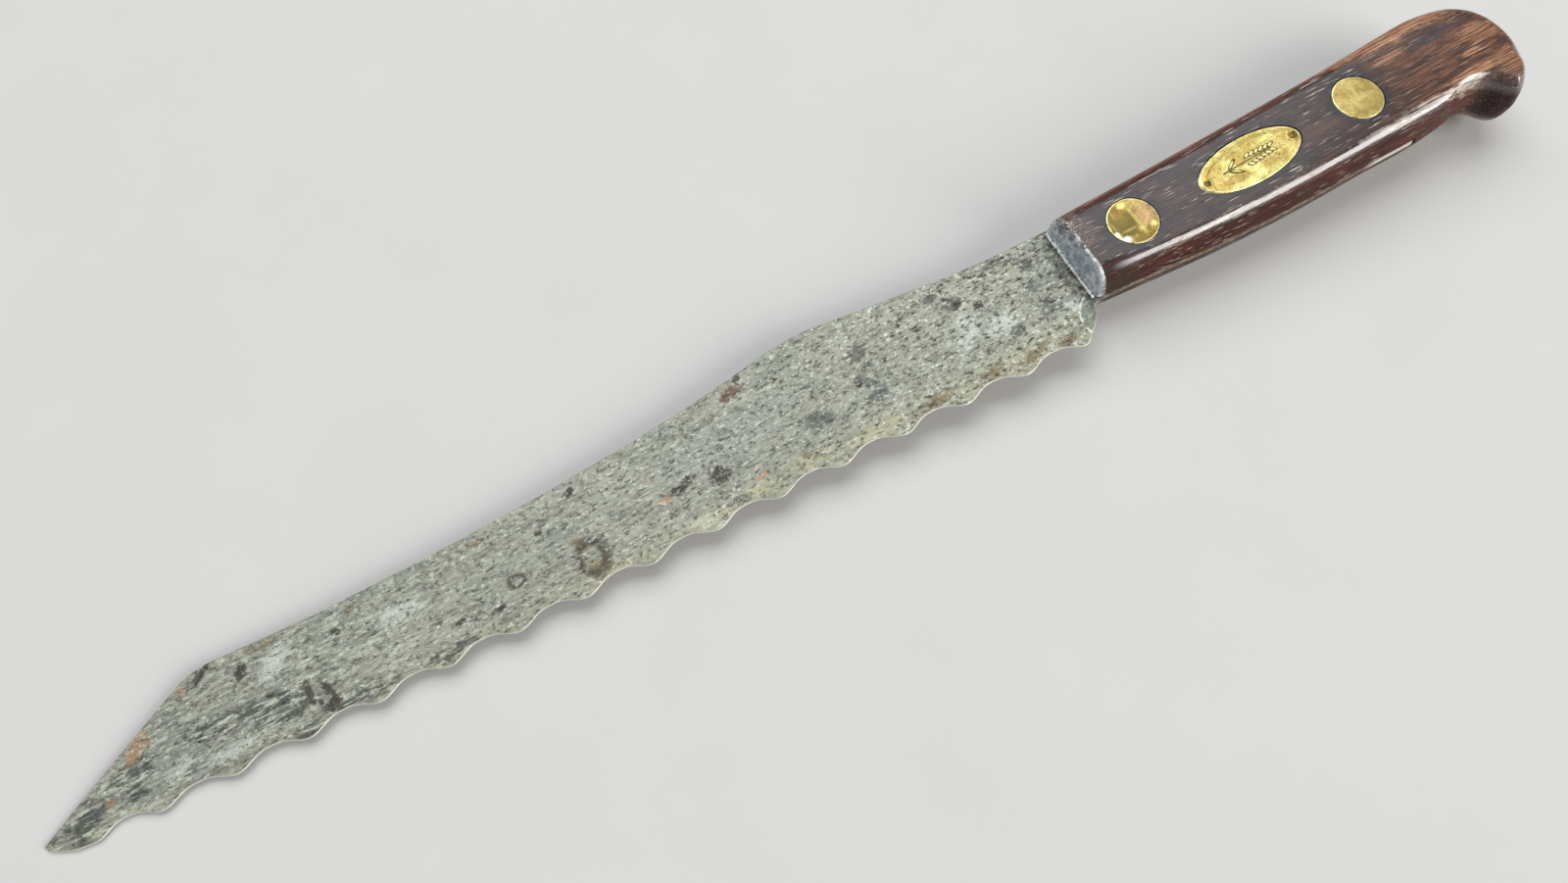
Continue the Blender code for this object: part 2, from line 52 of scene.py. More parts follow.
# Blade
TIP = (-254, -8.4)
SPINE_HALF = 1.0
EDGE_HALF = 0.22
GRIND_BACK_Y = 12.0
GRIND_EDGE_Y = -18.0
DISTAL_TAPER = 0.3
BACK_POINTS = [
    (-240, -0.7), (-222, 8.65), (-218, 10.4), (-213.5, 11.25), (-206, 10.9), (-190, 10),
    (-165, 9.65), (-138, 10.15), (-118, 11.15), (-100, 12.5), (-84, 14.45), (-73, 16.1),
    (-65, 16.5), (-57, 15.75), (-42, 13.8), (-24, 11.8), (-10, 11), (0, 10.8),
]
BACK_STEPS = 8
POINT_BELLY = [(-253.2, -9.7), (-251, -10.95), (-248, -12.1)]
HEEL_POINTS = [(-0.8, -11.1), (-1.2, -12.6), (-2.1, -14.5), (-3.6, -16.2), (-5.2, -17.4), (-6.6, -18.8)]
HEEL_STEPS = 6
TOOTH_COUNT = 16
TOOTH_PITCH = 15.88
LAST_PITCH = 14.05
HEEL_TOOTH_X = -7.9
SCALLOP_DEPTH = 2.2
SCALLOP_SQUARENESS = 1.45
SCALLOP_STEPS = 28
TOOTH_LINE = [
    (-254, -12), (-244.3, -12.55), (-230, -13.35), (-199, -14.45), (-167, -15.15), (-135, -16.1),
    (-87, -16.9), (-55, -17.8), (-23.5, -19), (-8.25, -19.4), (0, -19.6),
]
TOOTH_LINE_STEPS = 6
BEVEL_WIDTH = 0.2
BEVEL_TOP = 1.4
BEVEL_TIP_HALF = 0.05
BEVEL_RIM = 0.8
SPINE_BREAK = 0.18
SPINE_SHARE = 0.78
BLADE_ROWS = 22
BLADE_COLUMN = BLADE_ROWS + 4
RIM_END_X = -0.5
TANG_END = 92.0
TANG_STEPS = 60
TANG_HALF = 0.95
TANG_INSET = 0.1
SLOT_END = 93.0
HEEL_FACET = {"centre": (0.9, -14.9), "radius": 6.6, "rim": 0.5, "depth": 0.10}

# Handle, with half of its thickness first
HALF = 8.5
EDGE_STYLES = {
    # name: (slope of the flank, reach of the rounded corner inwards, and down from the flat side)
    "back": (0.1, 4, 4.5),
    "belly": (0.25, 2, 2.6),
    "worn": (0.25, 3.4, 4.2),
    "beak": (0.12, 2.7, 6.5),
    "butt": (0.05, 5.2, 7),
}
HANDLE_LINE = [
    # (edge style, points) clockwise from the front of the back
    ("back", [(-6, 10.8), (0, 10.9), (10, 11.2), (20, 11.4), (35, 11.8), (50, 12.3),
              (65, 12.8), (80, 13.4), (92, 14.15), (102, 14.8), (109, 15.15)]),
    ("butt", [(115.6, 15.05), (121.4, 13.45), (126, 10.1), (128.8, 5.4), (129.8, 0.2), (129.5, -4.6),
              (128.1, -9.2)]),
    ("beak", [(126, -12.8), (123, -15.8), (119.6, -17.1), (116.8, -15.4), (114.6, -12.7),
              (111.4, -11.2)]),
    ("belly", [(106.8, -11.5), (101, -12.85), (92, -13.4), (80, -13.5), (67, -13.85), (52, -13.95),
               (36, -13.45), (16, -12.1)]),
    ("worn", [(4, -11.35), (0, -11.1), (-6, -10.8)]),
]
HANDLE_STEPS = 9
GRIP_END = 100.0
NORMAL_REACH = 15
CORNER_STEPS = 10
SLOT_HALF = 1.25
SLOT_DEPTH = 3.0
SLOT_CLOSED_HALF = 0.05
RECESS_GAP = 0.2
RECESS_DEPTH = 1.0
WOOD_GAP = 0.02
FIRST_COLUMN_GAP = 0.2

# Bolster
BOLSTER_LENGTH = 2.6
BOLSTER_GAP = 0.3
NOSE_RADIUS = 1.2
NOSE_STEPS = 8
NOSE_LEAN = 0.2
BEAD_RADIUS = 0.38
BEAD_ENDS = (-10, 9.8)
BEAD_PLACE = (0.02, 0.22)  # along x, and over the steel
BEAD_LUMPS = 1.1
BEAD_WANDER = 0.12
BEAD_STEPS = 70
BEAD_SIDES = 10

# Brass
RIVET_CENTRES = {"front": (15.8, -0.6), "rear": (82.7, 0.65)}
RIVET_RADIUS = 6.25
RIVET_HEAD = 2.2
RIVET_SHANK = 2.4
RIVET_SHANK_LENGTH = 9.0
RIVET_BARREL = 3.5
RIVET_BARREL_REACH = 5.6
RIVET_BORE_FLOOR = 4.0
RIVET_BORE_GAP = 0.3
RIVET_DOME = 0.1
RIVET_DOME_STEPS = 8
RIVET_DOME_INSET = 0.35
RIVET_RIM = [(0.12, 0.03), (0.03, 0.1), (0, 0.25)]
MEDAL_CENTRE = (49.6, -0.6)
MEDAL_AXES = (14.8, 6.35)
MEDAL_TILT = radians(2.5)
MEDAL_THICKNESS = 1.2
MEDAL_RINGS = 80
MEDAL_SPOKES = 300
BORDER_INSETS = (1.7, 1.45)
BORDER_WIDTH = 0.3
RELIEF = {"plate": 0.04, "ridge": 0.16, "field": 0.08, "ear": 0.3, "hammer": 0.03, "hollow": 0.75,
          "collar": 0.1, "rim": 0.28}
STALK = {"start": -8.2, "end": 5.8, "half": 0.16, "height": 0.5}
GRAINS = {"count": 6, "start": -0.6, "pitch": 1.35, "stagger": 0.3, "away": 1.25, "taper": 0.1,
          "turn": radians(26), "axes": (1.15, 0.5)}
LEAF = {"centre": (-5, 1.1), "turn": radians(32), "axes": (2.1, 0.45), "height": 0.8}
PIN_SPACING = 25.8
PINS = {
    # end: (side of the middle, radius of the head, how far it is sunk, radius of the hollow around it)
    "front": (-1, 0.62, 0.12, 0.75),
    "rear": (1, 0.9, 0.38, 1.05),
}
PIN_DOME = 0.22
PIN_DOME_STEPS = 6
PIN_SHANK = 0.55
PIN_HEAD = 0.5
PIN_NECK = 0.8
PIN_LENGTH = 6.0
PIN_POINT = 1.0
PIN_SIDES = 32
ROUND_STEPS = 96

# Camera, in the knife's own frame
CAMERA_POSITION = (-121.3, -99.7, 245.7)
CAMERA_TARGET = (-80.63, -5.36, 0)
CAMERA_ROLL = radians(-6.2)
CAMERA_LENS = 27.0
CAMERA_SENSOR = 36.0
CAMERA_CLIP = 0.01

# Lights and floor, in metres around the middle of the knife
LIGHT_DISTANCE = 6.0
LIGHTS = {
    # name: (direction from the knife, width and height, power, colour)
    "sky": ((0.15, 0.55, 0.85), (7.1, 5.5), 372, (0.95, 0.98, 1)),
    "front": ((0.56, -0.7, 0.5), (4.6, 3.6), 330, (1, 0.98, 0.95)),
}
STUDIO_COLOR = (0.92, 0.95, 1, 1)
STUDIO_STRENGTH = 0.2
FLOOR_HALF = 12.0
FLOOR_SQUARES = 8


# -- lines --

def catmull_rom(before, start, end, after, t):
    bend = 2 * before - 5 * start + 4 * end - after
    twist = 3 * start - before - 3 * end + after
    return start + 0.5 * t * (end - before + t * (bend + t * twist))


def smooth_line(points, steps):
    """Catmull-Rom curve through points, with a number of steps between each two."""
    ends = [points[0]] + list(points) + [points[-1]]
    line = []
    for before, start, end, after in zip(ends, ends[1:], ends[2:], ends[3:]):
        for step in range(steps):
            t = step / steps
            line.append(tuple(catmull_rom(*values, t) for values in zip(before, start, end, after)))
    line.append(tuple(points[-1]))
    return line


def height_on(line, x):
    """Height at x of a line whose points run from left to right, held level beyond its ends."""
    if x <= line[0][0]:
        return line[0][1]
    for left, right in zip(line, line[1:]):
        if x <= right[0]:
            return left[1] + (right[1] - left[1]) * (x - left[0]) / max(right[0] - left[0], 1e-9)
    return line[-1][1]


def smoothstep(low, high, value):
    t = min(max((value - low) / (high - low), 0), 1)
    return t * t * (3.0 - 2.0 * t)


def lerp(low, high, share):
    return low + (high - low) * share


def edged_outline():
    """The handle's outline as (x, y, slope, inwards, down) points, clockwise from the front of the back."""
    points = [(x, y, *EDGE_STYLES[style]) for style, line in HANDLE_LINE for x, y in line]
    return smooth_line(points, HANDLE_STEPS)


def grip_line(side):
    """The outline in front of the beak, on the back (1) or the belly (-1), from left to right."""
    return sorted((p[0], p[1]) for p in edged_outline() if p[0] < GRIP_END and p[1] * side > 0)


def inward_normals(outline):
    """Unit vectors towards the inside of a clockwise outline, averaged over neighbours."""
    normals = []
    for i in range(len(outline)):
        before = outline[max(i - NORMAL_REACH, 0)]
        after = outline[min(i + NORMAL_REACH, len(outline) - 1)]
        along = Vector((after[0] - before[0], after[1] - before[1])).normalized()
        normals.append((along.y, -along.x))
    return normals


def corner_profile(slope, inwards, down):
    """Rounded corner above a flank that leans in: (inset, z, share of the turn) from the top down."""
    points = []
    for step in range(CORNER_STEPS, -1, -1):
        share = step / CORNER_STEPS
        angle = radians(90) * share
        z = HALF - down * (1.0 - sin(angle))
        points.append((slope * z + inwards * (1.0 - cos(angle)), z, share))
    return points


# -- meshes --

def add_object(name, data):
    added = bpy.data.objects.new(name, data)
    bpy.context.scene.collection.objects.link(added)
    return added


def new_piece(name, bm, sharp):
    """Object from a bmesh in millimetres, smooth up to a sharp angle between faces, in degrees."""
    bmesh.ops.recalc_face_normals(bm, faces=bm.faces)
    bmesh.ops.scale(bm, vec=(MM, MM, MM), verts=bm.verts)
    mesh = bpy.data.meshes.new(name)
    bm.to_mesh(mesh)
    bm.free()
    mesh.shade_smooth()
    mesh.set_sharp_from_angle(angle=radians(sharp))
    return add_object(name, mesh)


def ring_faces(bm, rings, closed=True):
    """Faces between successive rings of vertices; a ring may be one vertex over and over."""
    for ring, following in zip(rings, rings[1:]):
        count = len(ring) if closed else len(ring) - 1
        for i in range(count):
            j = (i + 1) % len(ring)
            corners = []
            for vert in (ring[i], following[i], following[j], ring[j]):
                if vert not in corners:
                    corners.append(vert)
            if len(corners) > 2:
                bm.faces.new(corners)


def tag(bm, name):
    """Float layer on the vertices that a material can read by name."""
    return bm.verts.layers.float.get(name) or bm.verts.layers.float.new(name)


def add_ring(bm, points, layer=None, value=0):
    ring = [bm.verts.new(point) for point in points]
    if layer:
        for vert in ring:
            vert[layer] = value
    return ring


def circle(centre, radius, z, steps=ROUND_STEPS):
    angles = [2 * pi * i / steps for i in range(steps)]
    return [(centre[0] + radius * cos(a), centre[1] + radius * sin(a), z) for a in angles]


def lathe(bm, centre, profile, steps=ROUND_STEPS, side=1):
    """Turned solid about a z axis, from (radius, z) points that start and end on the axis."""
    layer = tag(bm, "rim")
    reach = max(radius for radius, _ in profile)
    rings = []
    for radius, z in profile:
        points = circle(centre, radius, side * z, steps if radius else 1)
        ring = add_ring(bm, points, layer, radius / reach)
        rings.append(ring if radius else ring * steps)
    ring_faces(bm, rings)


# -- blade --

def tooth_tip_x(number):
    """Place of a tooth, counted from 0 at the heel; the last one stands closer to its neighbour."""
    if number < TOOTH_COUNT - 1:
        return HEEL_TOOTH_X - TOOTH_PITCH * number
    return tooth_tip_x(TOOTH_COUNT - 2) - LAST_PITCH


def scalloped_edge():
    """Cutting edge from the heel tooth to the last tooth."""
    tips = smooth_line(TOOTH_LINE, TOOTH_LINE_STEPS)
    edge = []
    for number in range(TOOTH_COUNT - 1):
        start = tooth_tip_x(number)
        pitch = start - tooth_tip_x(number + 1)
        for step in range(SCALLOP_STEPS):
            phase = step / SCALLOP_STEPS
            x = start - pitch * phase
            closeness = (1.0 + cos(2 * pi * phase)) / 2
            rise = SCALLOP_DEPTH * (1.0 - closeness ** SCALLOP_SQUARENESS)
            edge.append((x, height_on(tips, x) + rise))
    last = tooth_tip_x(TOOTH_COUNT - 1)
    edge.append((last, height_on(tips, last)))
    return edge


def tang_line(side, first):
    """Upper (1) or lower (-1) edge of the tang, a little inside the wood, from a first step on."""
    grip = grip_line(side)
    places = [TANG_END * step / TANG_STEPS for step in range(first, TANG_STEPS + 1)]
    return [(x, height_on(grip, x) - side * TANG_INSET) for x in places]


def lower_line():
    """The knife's lower edge from the tip over the teeth and the heel to the end of the tang."""
    edge = scalloped_edge()
    point = smooth_line([TIP] + POINT_BELLY + [edge[-1]], BACK_STEPS)[:-1]
    heel = smooth_line(HEEL_POINTS + [edge[0]], HEEL_STEPS)[:-1]
    return point + list(reversed(edge)) + list(reversed(heel)) + tang_line(-1, 0)


def upper_line():
    return smooth_line([TIP] + BACK_POINTS, BACK_STEPS) + tang_line(1, 1)


def half_thickness(x, y):
    """Flat grind from back to edge that also thins towards the tip; the tang keeps one thickness."""
    if x > 0.0:
        return TANG_HALF
    slope = (SPINE_HALF - EDGE_HALF) / (GRIND_BACK_Y - GRIND_EDGE_Y)
    taper = -x / -TIP[0] * DISTAL_TAPER
    return EDGE_HALF + slope * (y - GRIND_EDGE_Y) - taper * (1.0 + y / (2 * GRIND_BACK_Y)) / 2


def blade_column(x, low, high):
    """(x, y, share of the full thickness, closeness to the edge) from the lower edge up to the back."""
    width = high - low
    bevel = min(BEVEL_WIDTH, width / 3)
    spine = min(SPINE_BREAK, width / 4)
    flat_start = low + bevel * BEVEL_TOP
    column = [(x, low, 0, 1), (x, low + bevel, 1, BEVEL_RIM), (x, flat_start, 1, 0)]
    for row in range(1, BLADE_ROWS):
        column.append((x, lerp(flat_start, high - spine, row / BLADE_ROWS), 1, 0))
    return column + [(x, high - spine, 1, 0), (x, high, SPINE_SHARE, 0)]


def heel_hollow(x, y):
    """Depth of the shallow ground hollow at the heel."""
    distance = dist((x, y), HEEL_FACET["centre"])
    radius = HEEL_FACET["radius"]
    return HEEL_FACET["depth"] * (1.0 - smoothstep(radius - HEEL_FACET["rim"], radius, distance))


def build_blade():
    """Blade and tang in one sheet of steel, as columns across it from the tip to the end of the tang."""
    bm = bmesh.new()
    rim_layer = tag(bm, "rim")
    upper = upper_line()
    lower = lower_line()
    tip = bm.verts.new((TIP[0], TIP[1], 0))
    sides = {1: [[tip] * BLADE_COLUMN], -1: [[tip] * BLADE_COLUMN]}
    for x, low in lower[1:]:
        high = height_on(upper, x)
        edge, *column = blade_column(x, low, high)
        shared = bm.verts.new((x, low, 0))
        shared[rim_layer] = edge[-1] if x < RIM_END_X else 0.0
        for side in (1, -1):
            ring = [shared]
            for px, py, share, rim in column:
                z = max(half_thickness(px, py) * share, BEVEL_TIP_HALF)
                if px < 0.0:
                    z -= heel_hollow(px, py) * share
                vert = bm.verts.new((px, py, side * z))
                vert[rim_layer] = rim if px < RIM_END_X else 0.0
                ring.append(vert)
            sides[side].append(ring)
    back = [[ring[-1] for ring in rings] for rings in sides.values()]
    for rings in (*sides.values(), back):
        ring_faces(bm, rings, closed=False)
    bm.faces.new(sides[1][-1] + list(reversed(sides[-1][-1]))[:-1])
    return new_piece("blade_steel", bm, sharp=25)


# -- handle --

def wood_outline():
    """Outline and inward normals of the wood, cut square behind the bolster."""
    front = BOLSTER_LENGTH + WOOD_GAP
    outline = edged_outline()
    normals = inward_normals(outline)
    first = front + FIRST_COLUMN_GAP
    kept = [(point, normal) for point, normal in zip(outline, normals) if point[0] > first]
    start, end = [((front, *point[1:]), (0, copysign(1, normal[1])))
                  for point, normal in (kept[0], kept[-1])]
    return [start] + kept + [end]


def wood_column(point, normal):
    """Line round the handle's edge and into the tang's slot: (x, y, z, share of the corner's turn)."""
    x, y, slope, inwards, down = point
    upper = corner_profile(slope, inwards, down)
    upper.append((slope * SLOT_HALF, SLOT_HALF, 0))
    if x < SLOT_END:
        upper.append((slope * SLOT_HALF + SLOT_DEPTH, SLOT_HALF, 0))
    else:
        upper.append((0, SLOT_CLOSED_HALF, 0))
    column = []
    for sign in (1, -1):
        half = [(x + inset * normal[0], y + inset * normal[1], sign * z, share) for inset, z, share in upper]
        column += half if sign > 0 else list(reversed(half))
    return column


def on_medallion(u, v):
    """Place of a point of the tilted medallion, given along it and across it."""
    x, y = MEDAL_CENTRE
    along, across = cos(MEDAL_TILT), sin(MEDAL_TILT)
    return (x + u * along - v * across, y + u * across + v * along)


def recesses(side):
    """Rims of the recesses let into the flat side of the wood for the brass."""
    z = side * HALF
    rims = [circle(centre, RIVET_RADIUS + RECESS_GAP, z) for centre in RIVET_CENTRES.values()]
    if side > 0:
        a, b = [axis + RECESS_GAP for axis in MEDAL_AXES]
        angles = [pi * i / ROUND_STEPS for i in range(2 * ROUND_STEPS)]
        rims.append([(*on_medallion(a * cos(angle), b * sin(angle)), z) for angle in angles])
    return rims


def fill_flat(bm, loops):
    """Fill the area between an outer loop of vertices and the loops of holes in it."""
    edges = []
    for loop in loops:
        for pair in zip(loop, loop[1:] + loop[:1]):
            edges.append(bm.edges.get(pair) or bm.edges.new(pair))
    bmesh.ops.triangle_fill(bm, use_beauty=True, use_dissolve=False, edges=edges)


def build_handle():
    bm = bmesh.new()
    corner_layer = tag(bm, "corner")
    columns = [wood_column(point, normal) for point, normal in wood_outline()]
    rings = []
    for level in zip(*columns):
        ring = []
        for x, y, z, share in level:
            vert = bm.verts.new((x, y, z))
            vert[corner_layer] = 1.0 - share
            ring.append(vert)
        rings.append(ring)
    ring_faces(bm, rings)
    for side, outer in ((1, rings[0]), (-1, rings[-1])):
        loops = [outer]
        for rim in recesses(side):
            mouth = add_ring(bm, rim)
            floor = add_ring(bm, [(x, y, z - side * RECESS_DEPTH) for x, y, z in rim])
            ring_faces(bm, [mouth, floor])
            bm.faces.new(floor)
            loops.append(mouth)
        fill_flat(bm, loops)
    return new_piece("handle_wood", bm, sharp=38)


# -- bolster --

def cheek_section(x, shrink, lines):
    """Section of one cheek, drawn in by shrink, with a front that leans back towards the flat side."""
    section = []
    for (style, line), side in zip(lines.items(), (1, -1)):
        slope, inwards, down = EDGE_STYLES[style]
        edge_y = height_on(line, x)
        half = []
        for inset, z, _ in corner_profile(slope, inwards, down) + [(slope * SLOT_HALF, SLOT_HALF, 0)]:
            share = (z - SLOT_HALF) / (HALF - SLOT_HALF)
            lean = NOSE_LEAN * (z - SLOT_HALF) * (BOLSTER_LENGTH - x) / BOLSTER_LENGTH
            half.append((x + lean, edge_y - side * (inset + shrink), z - shrink * share))
        section += half if side == 1 else list(reversed(half))
    return section


def add_solder_bead(bm, layer, side):
    """Lumpy, slightly wandering string of solder along the front of one cheek."""
    rings = []
    for step in range(BEAD_STEPS + 1):
        y = lerp(*BEAD_ENDS, step / BEAD_STEPS)
        lump = noise.noise(Vector((y * 1.9, side * 3, 7)))
        wander = noise.noise(Vector((y * 0.5, 11, side)))
        radius = BEAD_RADIUS * (1.0 + BEAD_LUMPS * lump)
        x = BEAD_PLACE[0] + BEAD_WANDER * wander
        z = half_thickness(-0.1, y) + BEAD_PLACE[1]
        angles = [2 * pi * i / BEAD_SIDES for i in range(BEAD_SIDES)]
        ring = [(x + radius * cos(a), y, side * (z + radius * sin(a))) for a in angles]
        rings.append(add_ring(bm, ring, layer, 1))
    ring_faces(bm, rings)
    bm.faces.new(rings[0])
    bm.faces.new(rings[-1])


def build_bolster():
    """Two cheeks with rounded fronts, and a thin bead of solder where each meets the steel."""
    bm = bmesh.new()
    bead_layer = tag(bm, "bead")
    lines = {"back": grip_line(1), "worn": grip_line(-1)}
    for side in (1, -1):
        rings = []
        for step in range(NOSE_STEPS + 1):
            angle = radians(90) * step / NOSE_STEPS
            x = BOLSTER_GAP + NOSE_RADIUS * (1.0 - cos(angle))
            rings.append(cheek_section(x, NOSE_RADIUS * (1.0 - sin(angle)), lines))
        rings.append(cheek_section((NOSE_RADIUS + BOLSTER_LENGTH) / 2, 0, lines))
        rings.append(cheek_section(BOLSTER_LENGTH, 0, lines))
        rings = [add_ring(bm, [(x, y, side * z) for x, y, z in ring]) for ring in rings]
        ring_faces(bm, rings)
        bm.faces.new(rings[0])
        bm.faces.new(rings[-1])
        add_solder_bead(bm, bead_layer, side)
    return new_piece("bolster_cast", bm, sharp=45)


# -- brass --

def rivet_top(height):
    """Profile of a filed head: a very slight dome with a rolled rim."""
    profile = []
    for step in range(RIVET_DOME_STEPS + 1):
        share = step / RIVET_DOME_STEPS
        radius = share * (RIVET_RADIUS - RIVET_DOME_INSET)
        profile.append((radius, height + RIVET_DOME * (1.0 - share * share)))
    return profile + [(RIVET_RADIUS - inset, height - drop) for inset, drop in RIVET_RIM]


def build_rivet(end):
    """Both halves of one rivet: a headed shank from above, in a headed barrel from below."""
    centre = RIVET_CENTRES[end]
    under = HALF - RIVET_HEAD
    head = rivet_top(HALF) + [(RIVET_RADIUS, under)]
    shank_end = under - RIVET_SHANK_LENGTH
    bore = RIVET_SHANK + RIVET_BORE_GAP
    male = bmesh.new()
    lathe(male, centre, head + [(RIVET_SHANK, under), (RIVET_SHANK, shank_end), (0, shank_end)])
    barrel = [(RIVET_BARREL, under), (RIVET_BARREL, -RIVET_BARREL_REACH), (bore, -RIVET_BARREL_REACH)]
    female = bmesh.new()
    lathe(female, centre, head + barrel + [(bore, RIVET_BORE_FLOOR), (0, RIVET_BORE_FLOOR)], side=-1)
    return new_piece(f"{end}_rivet_head", male, 50), new_piece(f"{end}_rivet_barrel", female, 50)


def oval_bump(u, v, centre, turn, axes):
    """Rounded oval grain: 1 high in the middle, 0 outside."""
    du, dv = u - centre[0], v - centre[1]
    along = du * cos(turn) + dv * sin(turn)
    across = -du * sin(turn) + dv * cos(turn)
    return max(1.0 - ((along / axes[0]) ** 2 + (across / axes[1]) ** 2), 0)


def wheat_ear(u, v):
    """Relief of a plain ear of wheat along the medallion: a stalk, two rows of grains and two leaves."""
    on_stalk = STALK["start"] < u < STALK["end"]
    heights = [STALK["height"] * exp(-((v / STALK["half"]) ** 2)) if on_stalk else 0]
    for side in (-1, 1):
        for index in range(GRAINS["count"]):
            stagger = GRAINS["stagger"] if side > 0 else 0.0
            centre = (GRAINS["start"] + index * GRAINS["pitch"] + stagger,
                      side * (GRAINS["away"] - GRAINS["taper"] * index))
            heights.append(oval_bump(u, v, centre, side * GRAINS["turn"], GRAINS["axes"]))
        root = (LEAF["centre"][0], side * LEAF["centre"][1])
        heights.append(LEAF["height"] * oval_bump(u, v, root, side * LEAF["turn"], LEAF["axes"]))
    return max(heights)


def medallion_height(u, v, reach):
    """Height of the medallion's face over the flat of the wood, and how bright it is worn."""
    a, b = MEDAL_AXES
    border = hypot(u / (a - BORDER_INSETS[0]), v / (b - BORDER_INSETS[1]))
    upper_side = smoothstep(-0.25, 0.45, v / b)
    ridge = exp(-(((border - 1) * b / BORDER_WIDTH) ** 2)) * lerp(0.15, 1, upper_side)
    field = 1.0 - smoothstep(0.96, 1.03, border)
    ear = wheat_ear(u, v)
    hammer = noise.noise(Vector((u * 0.9, v * 0.9, 3)))
    height = RELIEF["plate"] + RELIEF["ridge"] * ridge + RELIEF["hammer"] * hammer
    height += field * (RELIEF["field"] * upper_side + RELIEF["ear"] * ear ** 0.5)
    for side, _, _, hollow in PINS.values():
        distance = hypot(u - side * PIN_SPACING / 2, v)
        height -= RELIEF["hollow"] * (1.0 - smoothstep(hollow - 0.1, hollow + 0.12, distance))
        height += RELIEF["collar"] * exp(-(((distance - hollow - 0.35) / 0.22) ** 2))
    return height - RELIEF["rim"] * smoothstep(0.965, 1, reach), ear * field


def build_medallion():
    """Oval plate: rings of vertices from the middle to the rim, then down its edge and underneath."""
    bm = bmesh.new()
    relief, rim = tag(bm, "relief"), tag(bm, "rim")
    a, b = MEDAL_AXES
    rings = []
    for step in range(MEDAL_RINGS + 1):
        reach = step / MEDAL_RINGS
        ring = []
        for spoke in range(MEDAL_SPOKES if step else 1):
            angle = 2 * pi * spoke / MEDAL_SPOKES
            u, v = a * reach * cos(angle), b * reach * sin(angle)
            height, bright = medallion_height(u, v, reach)
            vert = bm.verts.new((*on_medallion(u, v), HALF + height))
            vert[relief], vert[rim] = bright, reach
            ring.append(vert)
        rings.append(ring if step else ring * MEDAL_SPOKES)
    under = HALF - MEDAL_THICKNESS
    rings.append(add_ring(bm, [(*vert.co.xy, under) for vert in rings[-1]], rim, 1))
    ring_faces(bm, rings)
    bm.faces.new(rings[-1])
    return new_piece("medallion_plate", bm, sharp=60)


def build_pin(end):
    """Domed pin head, sunk a little, with its shank."""
    side, radius, sunk, _ = PINS[end]
    top = HALF - sunk
    point = HALF - PIN_LENGTH
    profile = []
    for step in range(PIN_DOME_STEPS + 1):
        angle = radians(90) * step / PIN_DOME_STEPS
        profile.append((radius * sin(angle), top - PIN_DOME * (1.0 - cos(angle))))
    profile += [(radius, top - PIN_HEAD), (PIN_SHANK, top - PIN_NECK)]
    profile += [(PIN_SHANK, point + PIN_POINT), (0, point)]
    bm = bmesh.new()
    lathe(bm, on_medallion(side * PIN_SPACING / 2, 0), profile, steps=PIN_SIDES)
    return new_piece(f"pin_{end}", bm, sharp=50)


# -- materials --

def srgb(red, green, reflected_blue):
    """Linear colour from 0-255 display values."""
    linear = []
    for value in (red, green, reflected_blue):
        value /= 255.0
        linear.append(value / 12.92 if value <= 0.04045 else ((value + 0.055) / 1.055) ** 2.4)
    return (*linear, 1)


